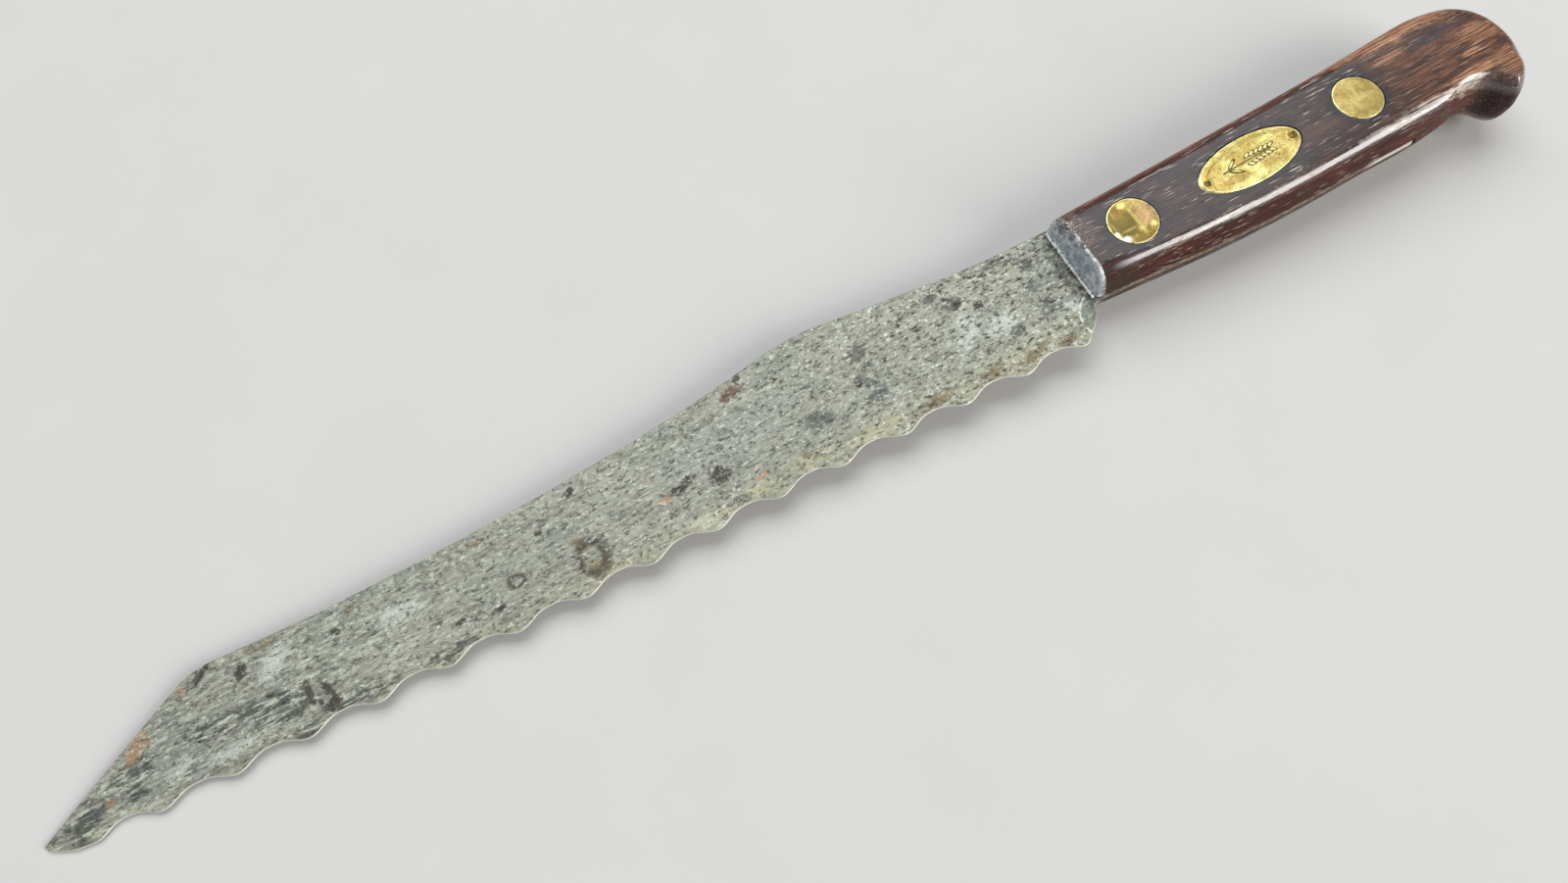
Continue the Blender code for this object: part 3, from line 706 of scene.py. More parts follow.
class Graph:
    """Short way to write a material: methods add nodes and return their output; paint changes the colour."""

    def __init__(self, name, tones):
        self.material = bpy.data.materials.new(name)
        self.material.use_nodes = True
        self.tree = self.material.node_tree
        self.shader = self.tree.nodes["Principled BSDF"]
        self.tones = tones
        self.color = None
        place = self.add("TexCoord").outputs["Object"]
        self.place = self.vector("MULTIPLY", place, (1.0 / MM, 1.0 / MM, 1.0 / MM))["Vector"]
        self.x, self.y, self.z = self.add("SeparateXYZ", {0: self.place}).outputs

    def add(self, kind, values=None, **settings):
        """Add a node with its settings, and feed its sockets, given by name or number."""
        node = self.tree.nodes.new(f"ShaderNode{kind}")
        for key, setting in settings.items():
            setattr(node, key, setting)
        for socket, value in (values or {}).items():
            self.feed(node.inputs[socket], value)
        return node

    def feed(self, socket, value):
        if isinstance(value, bpy.types.NodeSocket):
            self.tree.links.new(value, socket)
        else:
            socket.default_value = value

    def attribute(self, name):
        return self.add("Attribute", attribute_name=name).outputs["Fac"]

    def math(self, operation, *values, clamp=False):
        node = self.add("Math", dict(enumerate(values)), operation=operation, use_clamp=clamp)
        return node.outputs[0]

    def vector(self, operation, *values):
        return self.add("VectorMath", dict(enumerate(values)), operation=operation).outputs

    def ramp(self, value, gain, start):
        """start + gain * value."""
        return self.math("MULTIPLY_ADD", value, gain, start)

    def both(self, *masks):
        """Product of several masks."""
        result = masks[0]
        for mask in masks[1:]:
            result = self.math("MULTIPLY", result, mask)
        return result

    def highest(self, *masks):
        result = masks[0]
        for mask in masks[1:]:
            result = self.math("MAXIMUM", result, mask)
        return result

    def total(self, *terms):
        """Sum of (value, weight) terms."""
        result = 0.0
        for value, weight in terms:
            result = self.ramp(value, weight, result)
        return result

    def step(self, value, low, high):
        """0 below low, 1 above high, smooth between; the other way round where low is above high."""
        limits = (low, high, 0, 1) if low < high else (high, low, 1, 0)
        values = dict(zip(("From Min", "From Max", "To Min", "To Max"), limits))
        node = self.add("MapRange", {"Value": value, **values}, interpolation_type="SMOOTHSTEP")
        return node.outputs["Result"]

    def noise(self, size, detail=3, roughness=0.55, distortion=0, seed=0, turn=0):
        """Noise from 0 to 1 with features of a size in millimetres, one number or one for each axis."""
        sizes = size if isinstance(size, tuple) else (size, size, size)
        values = {"Vector": self.place, "Scale": tuple(1.0 / side for side in sizes),
                  "Location": (seed, seed * 0.7, seed * 1.3), "Rotation": (0, 0, turn)}
        place = self.add("Mapping", values, vector_type="POINT").outputs[0]
        values = {"Vector": place, "Scale": 1, "Detail": detail, "Roughness": roughness,
                  "Distortion": distortion}
        return self.add("TexNoise", values).outputs["Fac"]

    def blob(self, ragged, tear, x, y, along, across, turn=0):
        """Soft oval spot in the x-y plane, turned in degrees: 1 inside, 0 outside, with a torn rim."""
        shifted = self.vector("SUBTRACT", self.place, (x, y, 0))["Vector"]
        values = {"Vector": shifted, "Rotation": (0, 0, -radians(turn))}
        turned = self.add("Mapping", values, vector_type="POINT").outputs[0]
        shaped = self.vector("MULTIPLY", turned, (1.0 / along, 1.0 / across, 0))["Vector"]
        length = self.vector("LENGTH", shaped)["Value"]
        return self.step(self.math("ADD", length, self.ramp(ragged, 2 * tear, -tear)), *BLOB_RIM)

    def distance_to(self, centre):
        """Distance in the x-y plane from a centre, in millimetres."""
        flat = self.add("CombineXYZ", {0: self.x, 1: self.y}).outputs[0]
        return self.vector("DISTANCE", flat, (*centre, 0))["Value"]

    def tone(self, value):
        """Linear colour of a tone, by name or display values; a node's output stays as it is."""
        if isinstance(value, bpy.types.NodeSocket):
            return value
        return srgb(*(self.tones[value] if isinstance(value, str) else value))

    def mix(self, share, first, second):
        values = {0: share, 6: self.tone(first), 7: self.tone(second)}
        return self.add("Mix", values, data_type="RGBA").outputs[2]

    def paint(self, tone, *masks):
        """Lay a tone over the colour so far, by the product of the masks."""
        self.color = self.mix(self.both(*masks), self.color, tone)

    def bump(self, height, distance, strength):
        """Bump from a height, with the distance in millimetres."""
        values = {"Strength": strength, "Distance": distance * MM, "Height": height}
        return self.add("Bump", values).outputs["Normal"]

    def finish(self, roughness, metallic, normal, **others):
        """Feed the shader's own sockets, with underscores for the spaces in their names."""
        values = {"Base_Color": self.color, "Roughness": roughness, "Metallic": metallic, "Normal": normal}
        for name, value in (values | others).items():
            self.feed(self.shader.inputs[name.replace("_", " ")], value)
        return self.material


BLOB_RIM = (1.2, 0.6)

# Every tone is a display colour, 0 to 255
STEEL_TONES = {
    "cool": (150, 152, 138), "warm": (157, 158, 142), "yellow": (170, 166, 134), "shade": (108, 111, 102),
    "light": (190, 196, 178), "fleck": (226, 230, 218), "speck": (64, 65, 58), "pit": (54, 52, 46),
    "ring": (64, 56, 42), "heel": (112, 122, 112), "seam": (40, 36, 30), "edge": (226, 226, 216),
    "tang": (150, 138, 122), "tang_shade": (98, 84, 70), "tang_end": (232, 224, 214),
    "charcoal": (62, 66, 64), "bluish": (152, 157, 158), "pale": (200, 206, 198),
    "straw": (178, 172, 136), "grey": (78, 80, 78), "dark": (50, 45, 37), "stroke": (66, 58, 44),
    "brown": (116, 98, 66), "rust": (172, 132, 98), "old rust": (98, 56, 38),
}
STAINS = {
    # kind: (amount, how torn the rim is, spots), and a spot is (x, y, half length, half width, and its turn
    # in degrees where it has one)
    "charcoal": (0.86, 1.6, [
        (-204, -5, 9, 4, -20), (-216, -2.6, 6, 2.6), (-233.5, -3.4, 4.6, 3.4, 30),
        (-243.5, -7.2, 7, 3, 30), (-234, -7.6, 3, 1.8, 20), (-198.4, -12.9, 5, 1.4),
        (-186, -11.8, 9, 2), (-165, -12.6, 7, 1.4), (-197.8, -4.3, 2.4, 1.8),
    ]),
    "bluish": (0.2, 1.2, [
        (-94, 0.5, 16, 5), (-84, 3, 12, 4),
    ]),
    "pale": (0.5, 1.8, [
        (-199.9, 4.2, 5, 2.4, 50), (-214.2, -9.2, 5.5, 1.5, 5), (-224.5, -7, 4.2, 1.6, 30),
        (-172, 1, 5, 2.2), (-30.6, -3.5, 6, 2.2, 40), (-22.6, -5.2, 4.5, 2.6, 20),
        (-29, 0.2, 3.2, 1.4), (-104.5, -12.9, 4, 1), (-5.6, -9.4, 3, 1.8),
    ]),
    "straw": (0.4, 1.6, [
        (-78, -12, 7, 2), (-102.5, -13.2, 6, 1.6), (-61.7, -13.6, 8, 2),
        (-126, -13.2, 6, 1.4), (-92, -12.6, 5, 1.8),
    ]),
    "grey": (0.74, 1.6, [
        (-95.1, -13.1, 2.2, 1.2), (-55.4, 5.4, 3.2, 2, 20), (-57.9, -1, 2, 1.6),
        (-71.1, -4.8, 3.4, 2.6), (-56.2, -5.8, 2.6, 1.8), (-10, -6.2, 3.2, 2, 40),
        (-19.9, -8.6, 3.2, 1.3, 25), (-16.2, 9.3, 3, 1), (-8.8, 5.2, 2.2, 2.6, 10),
        (-33.5, 9, 2.4, 1.2), (-10.6, -0.6, 2.6, 1.8), (-2.6, 0, 1, 6), (-29.6, 5, 3, 1.8),
        (-56, -2.9, 1.8, 1),
    ]),
    "dark": (0.92, 1.7, [
        (-106.2, -3.8, 4.4, 1.2, 10), (-97.1, -5.6, 2.6, 2.2), (-128.4, 7.6, 1.8, 0.9, 40),
        (-207, 5.7, 2.3, 1.2, 60), (-186.2, 4, 1.1, 0.9), (-214.5, 9.6, 3.2, 0.8, 35),
        (-28.6, 4.4, 1.6, 1.1), (-24.4, 1.7, 1.3, 1.2), (-40.2, 3.7, 1.5, 1.1, -50),
        (-192, -10.4, 2.4, 1.2, 20), (-82.9, 13.6, 1.7, 1, 50), (-161.4, -7.5, 1.6, 0.8),
        (-152.7, -8.8, 2.2, 0.7, 10), (-138.8, 2.5, 1.2, 0.6),
    ]),
    "stroke": (0.88, 0.5, [
        (-195.4, -5.6, 3.6, 0.85, 90), (-191.5, -7.8, 4.2, 1.15, -73), (-193.9, -8.6, 1, 0.5, -70),
    ]),
    "brown": (0.74, 1.5, [
        (-181.5, 7.1, 1.6, 0.8, 20), (-202, 9.2, 4, 0.8), (-130, -11, 3.4, 1.8),
        (-131.6, -4.4, 2.6, 1.2, -60), (-46, -14.4, 5.4, 1.5, 10), (-30.4, -14.6, 4.8, 1.5, 10),
        (-20, -15.4, 5, 1.4, 20), (-11.6, -16.6, 3, 1.4, 10), (-151.6, 7.2, 1.8, 0.9),
        (-77.7, -11.2, 1.2, 0.8),
    ]),
    "rust": (0.64, 1.4, [
        (-231.2, 1.6, 4.2, 1.9, 42), (-219.5, 7.9, 1.3, 0.8, 40), (-239.4, -6.6, 1.2, 0.8),
        (-110.1, -4.7, 1.9, 1), (-112.1, 1.6, 0.7, 0.5), (-88.5, -10.5, 1.6, 0.8),
    ]),
    "old rust": (0.85, 1, [
        (-85.8, 10.9, 3, 1.8, 10),
    ]),
}
DARK_KINDS = ("charcoal", "grey", "dark", "stroke", "brown", "old rust")
RING_STAINS = [
    # x, y, half length, half width, width of the line, amount
    (-130.3, -8.6, 3.3, 4.2, 1.00, 0.9),
    (-147, -5.1, 1.9, 1.5, 0.5, 0.85),
]
RING_TEAR = 0.35

# Tones of the wood. Painted light among them: the back corner's reds are a painted red reflection over wear,
# the flank's dark reds painted shade and red reflection, the orange streak tones painted light, the pale
# rubbed tone a painted highlight over wear, and the beak's tone painted shade.
WOOD_TONES = {
    "dark": (42, 27, 24), "brown": (80, 50, 39), "streak": (122, 76, 52), "shade": (38, 28, 26),
    "butt_dark": (70, 46, 38), "butt_light": (154, 106, 78), "butt_shade": (54, 42, 42),
    "flat": (62, 56, 58), "worn_reflected_dark": (78, 38, 30), "worn_reflected_light": (128, 72, 50),
    "flank_dark": (50, 16, 12), "flank_light": (98, 40, 30), "lit_streak_dark": (120, 70, 44),
    "lit_streak_light": (208, 158, 118), "rubbed_highlight": (226, 210, 196), "bluish": (60, 56, 64),
    "darker_flank": (62, 50, 38), "end": (92, 74, 66), "end_fleck": (182, 168, 156), "beak": (44, 34, 36),
    "halo": (38, 36, 42), "pore": (20, 13, 13), "filled_pore": (226, 212, 200), "crack": (14, 10, 10),
    "scratch": (150, 132, 124),
}
STREAKS = {
    # kind: (x, y, half length, half width, amount) of each streak
    # painted light: orange patches on the upper side, over the grain
    "lit_streak": [
        (101, 11.6, 19, 2.2, 0.8),
        (111, -7.6, 9, 1.3, 0.7),
        (115, -2.4, 3, 1.2, 0.55),
        (121, 1.5, 6, 3, 0.45),
        (121.5, -9, 4, 4, 0.55),
        (96.5, 6.2, 5, 1.4, 0.45),
    ],
    # painted highlight over wear: pale streaks along the rubbed belly corner
    "rubbed_highlight": [
        (82, -10, 9, 0.8, 0.55),
        (96, -9.6, 10, 1.2, 0.75),
        (107.5, -9.2, 5.5, 1, 0.85),
        (40, -10.6, 26, 0.5, 0.45),
    ],
}
STREAK_TEAR = 0.9
BLUISH_SPOT = (110, 6.4, 7, 2.4)
WORN_END_SPOT = (3.2, 4.6, 3.6, 6.5)
# Spot of the beak (x, y, half length, half width, turn), for its painted shade and its scratches
BEAK_SPOT = (117, -13.6, 5.6, 5.2, 11.46)
HALO_START = 0.8
HALO_REACH = {"front": 3, "rear": 3.2}
MEDAL_HALO = 2.4

PEWTER_TONES = {
    # The bluish front tone is a painted reflection of the sky, mottled with the silver one.
    "reflected_blue": (160, 176, 193), "silver": (244, 247, 246), "top_dark": (84, 68, 60),
    "top_light": (128, 116, 106), "darker_flank": (66, 52, 42), "fleck": (240, 242, 240), "speck": (60, 60, 64),
    "bead_gap": (90, 84, 74), "bead": (255, 255, 252),
}

BRASS_TONES = {
    "tarnish": (96, 70, 34), "hairline": (244, 226, 160), "filed": (250, 240, 186),
    "hollow": (74, 50, 22), "raised": (252, 244, 190),
}
BRASS_PIECES = {
    # name: (bright tone, dull tone, amount of tarnish, seed, patches)
    # and a patch is (x, y, half length, half width, tone, amount)
    "front_rivet": ((188, 167, 98), (131, 111, 55), 0.6, 10, [
        (13.2, -0.4, 3.8, 4.8, (104, 94, 48), 0.9),
        (13.4, 2.6, 1.6, 1.4, (164, 122, 66), 0.4),
        (19.2, -0.6, 2.3, 3.4, (186, 150, 112), 0.75),
        (16.6, -0.4, 0.45, 4.4, (224, 206, 122), 0.36),
        (13.8, -2.3, 2.4, 0.35, (190, 172, 104), 0.4),
        (11.4, -4.3, 1.6, 0.9, (250, 244, 222), 0.95),
        (10.4, -2.6, 0.7, 1.3, (244, 234, 200), 0.85),
        (15.6, 4.2, 1.2, 0.9, (232, 214, 126), 0.7),
        (19.6, -3.6, 0.9, 0.8, (236, 220, 136), 0.7),
    ]),
    "rear_rivet": ((198, 178, 112), (158, 136, 74), 0.5, 30, [
        (80.4, 2.6, 2.2, 1.5, (150, 128, 70), 0.5),
        (84.8, -1.6, 2.8, 1.7, (156, 134, 74), 0.45),
    ]),
    "medallion": ((224, 216, 142), (186, 166, 90), 0.75, 50, [
        (37.8, -1.6, 4.2, 5.4, (188, 158, 84), 0.6),
        (62, 0.6, 3.6, 4.8, (192, 162, 88), 0.6),
        (43, -3.6, 3.6, 1.3, (156, 118, 58), 0.65),
        (55.5, -3.4, 4.4, 1.3, (164, 128, 64), 0.55),
        (45.5, 2.8, 3, 1, (170, 134, 68), 0.5),
    ]),
    "pin": ((150, 122, 64), (96, 76, 40), 0.7, 70, []),
    "reverse": ((204, 178, 104), (150, 120, 58), 0.5, 90, []),
}
PATCH_TEAR = 0.7

FLOOR_TONES = {"shade": (200, 199, 196), "light": (206, 205, 202)}


def paint_stains(g, salt, streaky, ragged):
    """Stains in their places. Returns the mask of the charcoal ones, and of all the dark ones together."""
    granular = g.ramp(g.step(salt, 0.6, 0.48), 0.4, 0.6)
    dark = {}
    for kind, (amount, tear, spots) in STAINS.items():
        mask = g.highest(*[g.blob(ragged, tear, *spot) for spot in spots])
        if kind in DARK_KINDS:
            mask = g.both(mask, g.step(streaky, 0.58, 0.46) if kind == "charcoal" else granular)
            dark[kind] = mask
        g.paint(kind, mask, amount)
    for x, y, along, across, width, amount in RING_STAINS:
        outer = g.blob(ragged, RING_TEAR, x, y, along + width, across + width)
        inner = g.blob(ragged, RING_TEAR, x, y, along - width, across - width)
        g.paint("ring", g.math("SUBTRACT", outer, inner, clamp=True), amount)
    return dark["charcoal"], g.highest(*dark.values())


def paint_heel(g, salt, ragged):
    """The ground hollow at the heel with a pale arc round it, and the dirt in front of the bolster."""
    away = g.math("ADD", g.distance_to(HEEL_FACET["centre"]), g.both(ragged, 0.5))
    on_heel = g.step(g.x, -9, -7.5)
    g.paint("heel", g.step(away, 6.9, 6.5), on_heel, 0.55)
    g.paint("fleck", g.step(away, 6.3, 6.6), g.step(away, 7.2, 6.9), on_heel, g.step(salt, 0.4, 0.52), 0.8)
    g.paint("seam", g.step(g.x, -2.4, -0.7), g.step(g.x, 0.6, 0.2), g.step(ragged, 0.4, 0.54), 0.85)


def steel_material():
    """Old carbon steel: grey-green patina, fine pits drawn out lengthwise, and stains in their places."""
    g = Graph("old_steel", STEEL_TONES)
    pepper = g.noise((1.5, 0.85, 0.9), 5, 0.78, seed=3)
    salt = g.noise((1.3, 0.8, 0.9), 5, 0.76, seed=11)
    streaky = g.noise((4.6, 0.95, 0.9), 5, 0.74, 0.4, seed=47)
    pits = g.noise((2.2, 1.3, 1.3), 5, 0.76, seed=19)
    medium = g.noise((6, 2.6, 2.6), 5, 0.72, 0.3, seed=5)
    broad = g.noise((26, 12, 10), 3, 0.5, 0.6, seed=8)
    brushed = g.noise((8, 0.42, 1), 4, 0.66, seed=2)
    ragged = g.noise((1.9, 1.3, 1.3), 5, 0.72, seed=71)

    g.color = g.mix(g.step(broad, 0.35, 0.68), "cool", "warm")
    near_edge = g.step(g.ramp(broad, -8, g.y), -12.5, -20)
    g.paint("yellow", near_edge, 0.45)
    g.paint("shade", g.step(medium, 0.52, 0.36), 0.62)
    g.paint("light", g.step(medium, 0.54, 0.68), 0.5)
    g.paint("shade", g.step(brushed, 0.48, 0.62), g.step(g.x, -20, -90), 0.5)
    to_tip = g.step(g.x, -140, -195)
    g.paint("shade", to_tip, g.step(streaky, 0.5, 0.36), 0.62)
    g.paint("light", to_tip, g.step(streaky, 0.52, 0.62), 0.85)

    charcoal, stained = paint_stains(g, salt, streaky, ragged)
    to_handle = g.step(g.x, -110, -8)
    clean = g.ramp(stained, -0.75, 1)
    g.paint("fleck", g.step(salt, 0.54, 0.63), g.ramp(to_handle, 0.2, 0.52), clean)
    dark_specks = g.both(g.step(pepper, 0.49, 0.37), g.ramp(to_handle, 0.15, 0.8))
    g.paint("speck", dark_specks)
    more_pits = g.ramp(g.highest(to_handle, charcoal), -0.05, 0.05)
    pitted = g.step(g.math("ADD", pits, more_pits), 0.44, 0.37)
    g.paint("pit", pitted, 0.85)
    paint_heel(g, salt, ragged)
    g.paint("edge", g.step(g.attribute("rim"), 0.55, 0.95), 0.85)

    tang = g.mix(g.step(ragged, 0.4, 0.6), "tang", "tang_shade")
    tang = g.mix(g.both(g.step(g.x, 76, 82), 0.85), tang, "tang_end")
    g.paint(tang, g.step(g.x, 1, 2))

    rough_spots = g.total((pitted, 0.25), (dark_specks, 0.15))
    roughness = g.math("ADD", g.ramp(medium, 0.16, 0.46), rough_spots, clamp=True)
    worn = g.math("ADD", g.both(charcoal, 0.6), rough_spots, clamp=True)
    height = g.total((g.step(pits, 0.34, 0.48), 0.8), (pepper, 0.5), (brushed, 0.15))
    return g.finish(roughness, g.ramp(worn, -0.3, 0.45), g.bump(height, 0.1, 0.5))


def paint_wear_and_light(g, grain, fine_grain, ragged, corner):
    """Painted shade and red reflection on the belly flank, painted light in orange streaks, a painted
    highlight in pale streaks on the rubbed corner, a darker front of the flank, the worn end, and painted
    shade on the beak. Returns the mask of the beak.
    """
    flank = g.both(g.step(corner, 0.7, 0.98), g.step(g.y, -5, -8))
    # The belly flank in dark red over the grain: painted shade and painted red reflection
    g.paint(g.mix(g.step(grain, 0.4, 0.62), "flank_dark", "flank_light"), flank, 0.65)
    coarse = g.step(fine_grain, 0.4, 0.6)
    # Orange patches on the upper side of the handle: painted light
    lit_streak = g.mix(coarse, "lit_streak_dark", "lit_streak_light")
    for *spot, amount in STREAKS["lit_streak"]:
        g.paint(lit_streak, g.blob(ragged, STREAK_TEAR, *spot), g.step(g.z, 0.5, 4), amount)
    # Pale streaks along the belly corner: a painted highlight over the rubbed wood
    for *spot, amount in STREAKS["rubbed_highlight"]:
        g.paint("rubbed_highlight", g.blob(ragged, STREAK_TEAR, *spot), coarse, amount)
    g.paint("bluish", g.blob(ragged, 1, *BLUISH_SPOT), 0.7)
    # Darker on the flank towards the front
    g.paint("darker_flank", flank, g.step(g.x, 16, 5), 0.85)
    worn_end = g.blob(ragged, 0.7, *WORN_END_SPOT)
    g.paint("end", worn_end, 0.6)
    speckled = g.step(g.noise((0.7, 0.5, 0.5), 4, 0.7, seed=43), 0.54, 0.66)
    g.paint("end_fleck", worn_end, speckled, 0.8)
    beak = g.blob(ragged, 0.7, *BEAK_SPOT)
    # Painted shade on the sloping sides of the beak
    g.paint("beak", beak, g.step(corner, 0.25, 0.6), 0.75)
    return beak


def paint_halos(g, ragged):
    """Dark rims that polish has left round the brass."""
    halos = []
    for end, centre in RIVET_CENTRES.items():
        outer = RIVET_RADIUS + HALO_REACH[end]
        halos.append(g.step(g.distance_to(centre), outer, RIVET_RADIUS + HALO_START))
    around = [axis + MEDAL_HALO for axis in MEDAL_AXES]
    halos.append(g.blob(ragged, 0.12, *MEDAL_CENTRE, *around, degrees(MEDAL_TILT)))
    g.paint("halo", g.highest(*halos), g.step(g.z, 2, 6), g.ramp(ragged, 0.8, 0.35))


def wood_material():
    """Old rosewood: dark brown, with lengthwise grain, open pores and a worn polish."""
    g = Graph("rosewood", WOOD_TONES)
    grain = g.noise((16, 0.75, 0.75), 5, 0.62, 0.35, seed=4)
    fine_grain = g.noise((12, 0.45, 0.45), 4, 0.65, 0.3, seed=37)
    streaks = g.noise((30, 2.4, 2.4), 3, 0.55, 0.6, seed=6)
    mottle = g.noise((7, 3, 3), 4, 0.6, seed=12)
    pores = g.noise((6, 0.26, 0.26), 1, 0.4, seed=21)
    pore_patch = g.noise((10, 4, 4), 2, 0.5, seed=23)
    ragged = g.noise((2.4, 1.6, 1.6), 4, 0.65, seed=29)
    corner = g.attribute("corner")
    on_flat = g.step(corner, 0.3, 0.05)

    g.color = g.mix(g.step(grain, 0.36, 0.66), "dark", "brown")
    g.paint("streak", g.step(streaks, 0.52, 0.7), 0.55)
    g.paint("shade", g.step(mottle, 0.58, 0.4), 0.45)
    butt = g.mix(g.step(fine_grain, 0.38, 0.62), "butt_dark", "butt_light")
    butt = g.mix(g.both(g.step(mottle, 0.56, 0.4), 0.62), butt, "butt_shade")
    g.paint(butt, g.step(g.x, 76, 112), 0.75)
    g.paint("flat", on_flat, g.step(g.x, 100, 60), 0.4)
    # Back corner in red over the grain: a painted red reflection over wear
    worn = g.mix(g.step(grain, 0.38, 0.62), "worn_reflected_dark", "worn_reflected_light")
    g.paint(worn, g.step(corner, 0.12, 0.5), g.step(g.y, 5, 8), 0.75)
    beak = paint_wear_and_light(g, grain, fine_grain, ragged, corner)
    paint_halos(g, ragged)

    open_pores = g.both(g.step(pores, 0.64, 0.7), g.step(pore_patch, 0.36, 0.54))
    closed_pores = g.step(pores, 0.36, 0.29)
    filled = g.step(g.noise((6, 2, 2), 2, seed=27), 0.36, 0.5)
    fewer_at_butt = g.ramp(g.step(g.x, 80, 100), -0.6, 1)
    g.paint("pore", closed_pores, 0.75)
    g.paint("filled_pore", open_pores, filled, fewer_at_butt, 0.92)
    crack = g.step(g.noise((11, 0.3, 0.6), 1, 0.4, seed=41), 0.7, 0.74)
    crack = g.both(crack, g.step(g.x, 96, 104))
    g.paint("crack", crack, 0.9)
    scratched = g.step(g.noise((1.2, 0.5, 0.5), 4, 0.75, 0.4, seed=33), 0.56, 0.68)
    g.paint("scratch", scratched, beak, 0.6)

    roughness = g.math("ADD", g.ramp(mottle, 0.22, 0.3), g.both(open_pores, 0.3), clamp=True)
    dents = g.noise((4, 1.2, 1.2), 4, 0.65, seed=17)
    height = g.total((grain, 0.3), (open_pores, -0.8), (closed_pores, -0.5), (dents, 0.7), (crack, -1))
    on_corner = g.both(g.step(corner, 0.02, 0.14), g.step(corner, 0.85, 0.55))
    polished = g.both(on_corner, g.step(g.y, -4, -7), g.step(g.x, 4, 12))
    coat = g.highest(polished, g.both(on_flat, 0.22))
    return g.finish(roughness, 0, g.bump(height, 0.11, 0.6), IOR=1.5, Specular_IOR_Level=0.14,
                    Coat_Weight=coat, Coat_Normal=g.bump(height, 0.08, 0.4), Coat_Roughness=0.17,
                    Coat_IOR=1.95)


def pewter_material():
    """Dull grey cast metal: bluish in front as a painted reflection of the sky, brown and mottled on top,
    with a bright solder bead.
    """
    g = Graph("pewter", PEWTER_TONES)
    medium = g.noise(1.6, 4, 0.65, seed=5)
    fine = g.noise(0.42, 4, 0.7, seed=8)
    behind = g.step(g.ramp(g.y, 0.08, g.ramp(medium, -2, g.x)), 0.4, 1.4)
    flank = g.step(g.y, -8.6, -10.4)
    # Front face: painted reflection of the sky, bluish, mottled with silver
    g.color = g.mix(g.step(medium, 0.36, 0.66), "reflected_blue", "silver")
    g.paint(g.mix(g.step(medium, 0.4, 0.62), "top_dark", "top_light"), behind)
    # Darker on the flank behind the nose
    g.paint("darker_flank", flank, g.step(g.x, 0.8, 2.2), 0.8)
    g.paint("fleck", g.step(fine, 0.53, 0.61), 0.85)
    g.paint("speck", g.step(fine, 0.43, 0.34), 0.6)
    bead = g.attribute("bead")
    unbroken = g.step(g.noise((0.9, 1.3, 0.9), 4, 0.7, seed=15), 0.34, 0.46)
    g.paint(g.mix(unbroken, "bead_gap", "bead"), bead)
    height = g.total((fine, 0.6), (medium, 0.6))
    metallic = g.ramp(g.highest(behind, bead), -0.12, 0.15)
    return g.finish(g.ramp(medium, 0.2, 0.52), metallic, g.bump(height, 0.1, 0.6))


def brass_material(name):
    """Worn brass: fine scratches, darker where it is tarnished, pale at the filed rim."""
    bright, dull, tarnish, seed, patches = BRASS_PIECES[name]
    g = Graph(f"brass_{name}", BRASS_TONES)
    cloud = g.noise(3.4, 4, 0.6, 0.5, seed=seed + 3)
    fine = g.noise(0.5, 4, 0.7, seed=seed + 5)
    hairline = g.noise((0.35, 5, 1), 3, 0.6, seed=seed + 7, turn=0.6)
    ragged = g.noise(1.6, 4, 0.65, seed=seed + 2)
    uneven = g.noise(1.2, 3, 0.6, seed=seed + 9)
    relief = g.attribute("relief")
    g.color = g.mix(g.step(cloud, 0.36, 0.66), dull, bright)
    for *spot, tone, amount in patches:
        g.paint(tone, g.blob(ragged, PATCH_TEAR, *spot), amount)
    g.paint("tarnish", g.step(fine, 0.48, 0.34), tarnish)
    g.paint("hairline", g.step(hairline, 0.6, 0.7), 0.25)
    g.paint("filed", g.step(g.attribute("rim"), 0.93, 0.97), g.step(uneven, 0.34, 0.5), 0.85)
    g.paint("hollow", g.step(relief, 0.02, 0.1), g.step(relief, 0.7, 0.35), 0.9)
    g.paint("raised", g.step(relief, 0.5, 0.9), 0.6)
    height = g.total((fine, 0.6), (cloud, 0.9))
    return g.finish(g.ramp(cloud, -0.2, 0.55), 0.85, g.bump(height, 0.1, 0.6))


# -- set --

def knife_pose(record):
    """Where the knife lies, from the mount on the underside of its handle."""
    mount = next(m for m in record["mounts"] if m["name"] == REST_MOUNT)
    up = -Vector(mount["axis"]).normalized()
    across = Vector((0, 1, 0))
    along = across.cross(up)
    rotation = Matrix((along, across, up)).transposed().to_4x4()
    origin = Vector(mount["pos_m"]) - rotation @ (Vector(REST_POINT) * MM)
    return Matrix.Translation(origin) @ rotation


def add_camera(pose):
    data = bpy.data.cameras.new("main_camera")
    data.lens = CAMERA_LENS
    data.sensor_width = CAMERA_SENSOR
    data.clip_start = CAMERA_CLIP
    camera = add_object("main_camera", data)
    position = Vector(CAMERA_POSITION) * MM
    view = (Vector(CAMERA_TARGET) * MM - position).normalized()
    turn = view.to_track_quat("-Z", "Y").to_matrix().to_4x4() @ Matrix.Rotation(CAMERA_ROLL, 4, "Z")
    camera.matrix_world = pose @ Matrix.Translation(position) @ turn
    bpy.context.scene.camera = camera


def add_light(name, direction, size, power, color):
    """Broad soft light that looks at the middle of the knife."""
    data = bpy.data.lights.new(name, "AREA")
    data.shape = "RECTANGLE"
    data.size, data.size_y = size
    data.energy = power
    data.color = color
    light = add_object(name, data)
    outward = Vector(direction).normalized()
    light.location = outward * LIGHT_DISTANCE
    light.rotation_euler = (-outward).to_track_quat("-Z", "Y").to_euler()


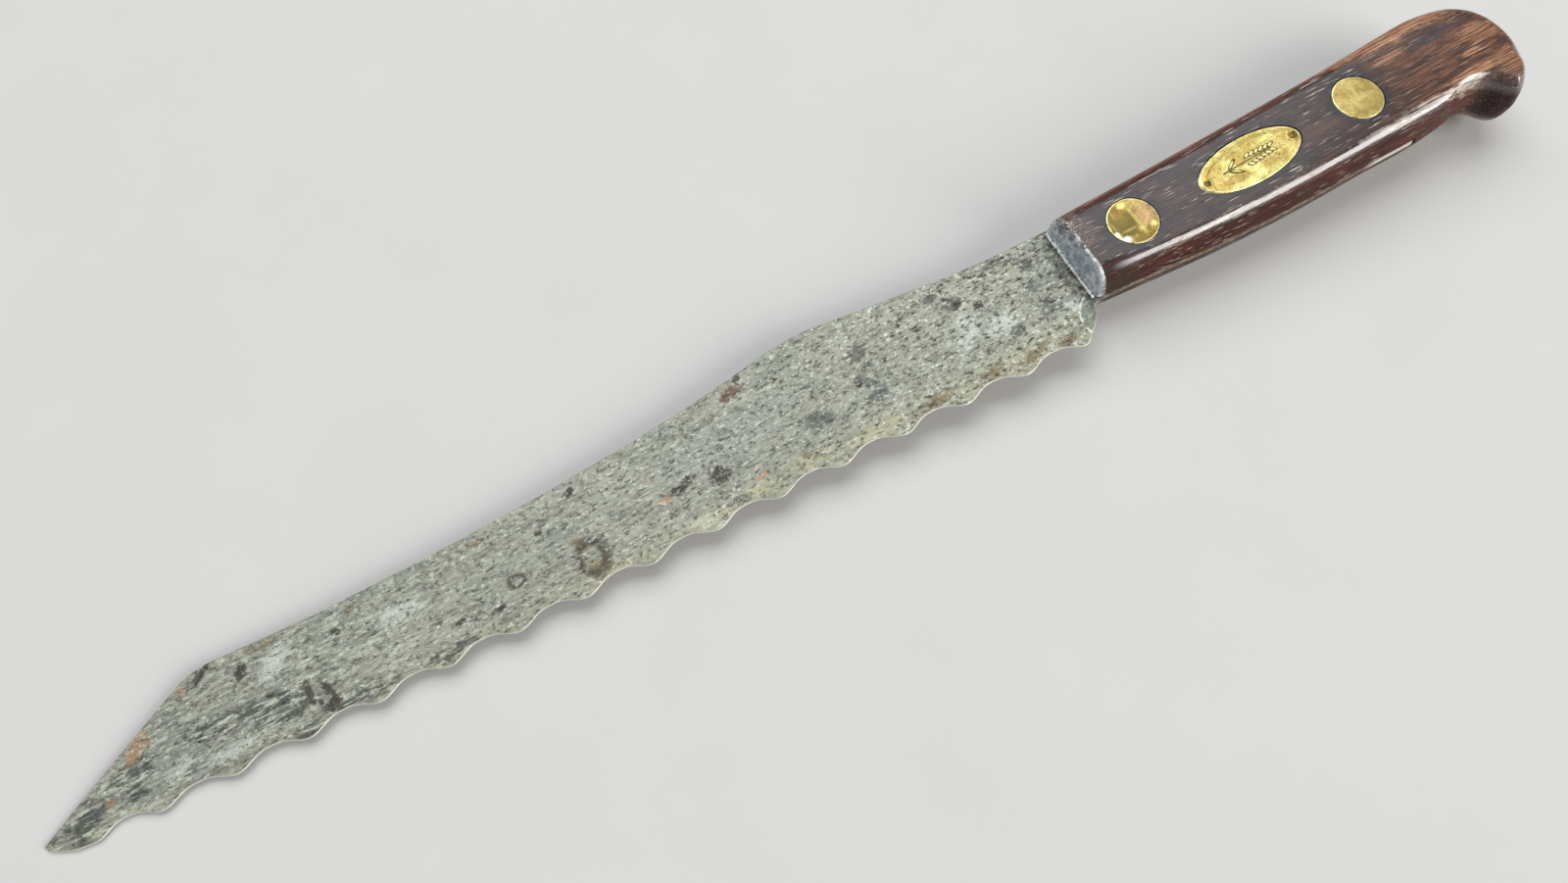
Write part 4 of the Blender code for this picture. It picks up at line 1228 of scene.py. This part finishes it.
def add_studio():
    for name, settings in LIGHTS.items():
        add_light(name, *settings)
    world = bpy.data.worlds.new("studio")
    world.use_nodes = True
    background = world.node_tree.nodes["Background"]
    background.inputs["Color"].default_value = STUDIO_COLOR
    background.inputs["Strength"].default_value = STUDIO_STRENGTH
    bpy.context.scene.world = world
    bpy.context.scene.view_settings.view_transform = "Standard"


def add_floor(height):
    bm = bmesh.new()
    bmesh.ops.create_grid(bm, x_segments=FLOOR_SQUARES, y_segments=FLOOR_SQUARES, size=FLOOR_HALF)
    bmesh.ops.translate(bm, verts=bm.verts, vec=(0, 0, height))
    mesh = bpy.data.meshes.new("floor")
    bm.to_mesh(mesh)
    bm.free()
    floor = add_object("floor", mesh)
    g = Graph("pale_floor", FLOOR_TONES)
    g.color = g.mix(g.noise(40), "shade", "light")
    mesh.materials.append(g.finish(0.8, 0, g.bump(g.noise(1.5), 0.05, 0.2)))


def add_piece(piece, pose, material, slot, *nodes):
    piece.data.materials.append(material)
    piece.matrix_world = pose
    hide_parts(*nodes)
    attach(piece, "root")


def build_knife(pose):
    add_piece(build_blade(), pose, steel_material(), "steel", "blade")
    add_piece(build_handle(), pose, wood_material(), "rosewood", "handle")
    add_piece(build_bolster(), pose, pewter_material(), "pewter", "bolster")
    brass = {name: brass_material(name) for name in BRASS_PIECES}
    for end in RIVET_CENTRES:
        head, barrel = build_rivet(end)
        add_piece(head, pose, brass[f"{end}_rivet"], "brass", f"{end}_rivet_male")
        add_piece(barrel, pose, brass["reverse"], "brass", f"{end}_rivet_female")
    add_piece(build_medallion(), pose, brass["medallion"], "brass", "medallion")
    for end in PINS:
        add_piece(build_pin(end), pose, brass["pin"], "brass", f"medallion_pin_{end}")


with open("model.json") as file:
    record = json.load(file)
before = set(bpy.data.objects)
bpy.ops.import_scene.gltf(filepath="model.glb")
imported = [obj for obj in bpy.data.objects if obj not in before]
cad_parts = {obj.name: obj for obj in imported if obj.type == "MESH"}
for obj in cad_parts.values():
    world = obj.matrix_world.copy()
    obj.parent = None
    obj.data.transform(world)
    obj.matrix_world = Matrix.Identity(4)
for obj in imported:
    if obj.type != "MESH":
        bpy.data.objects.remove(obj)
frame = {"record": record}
cad_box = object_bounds()
pose = knife_pose(frame["record"])
build_knife(pose)
add_floor(cad_box[0][2])
add_studio()
add_camera(pose)
bpy.context.view_layer.update()
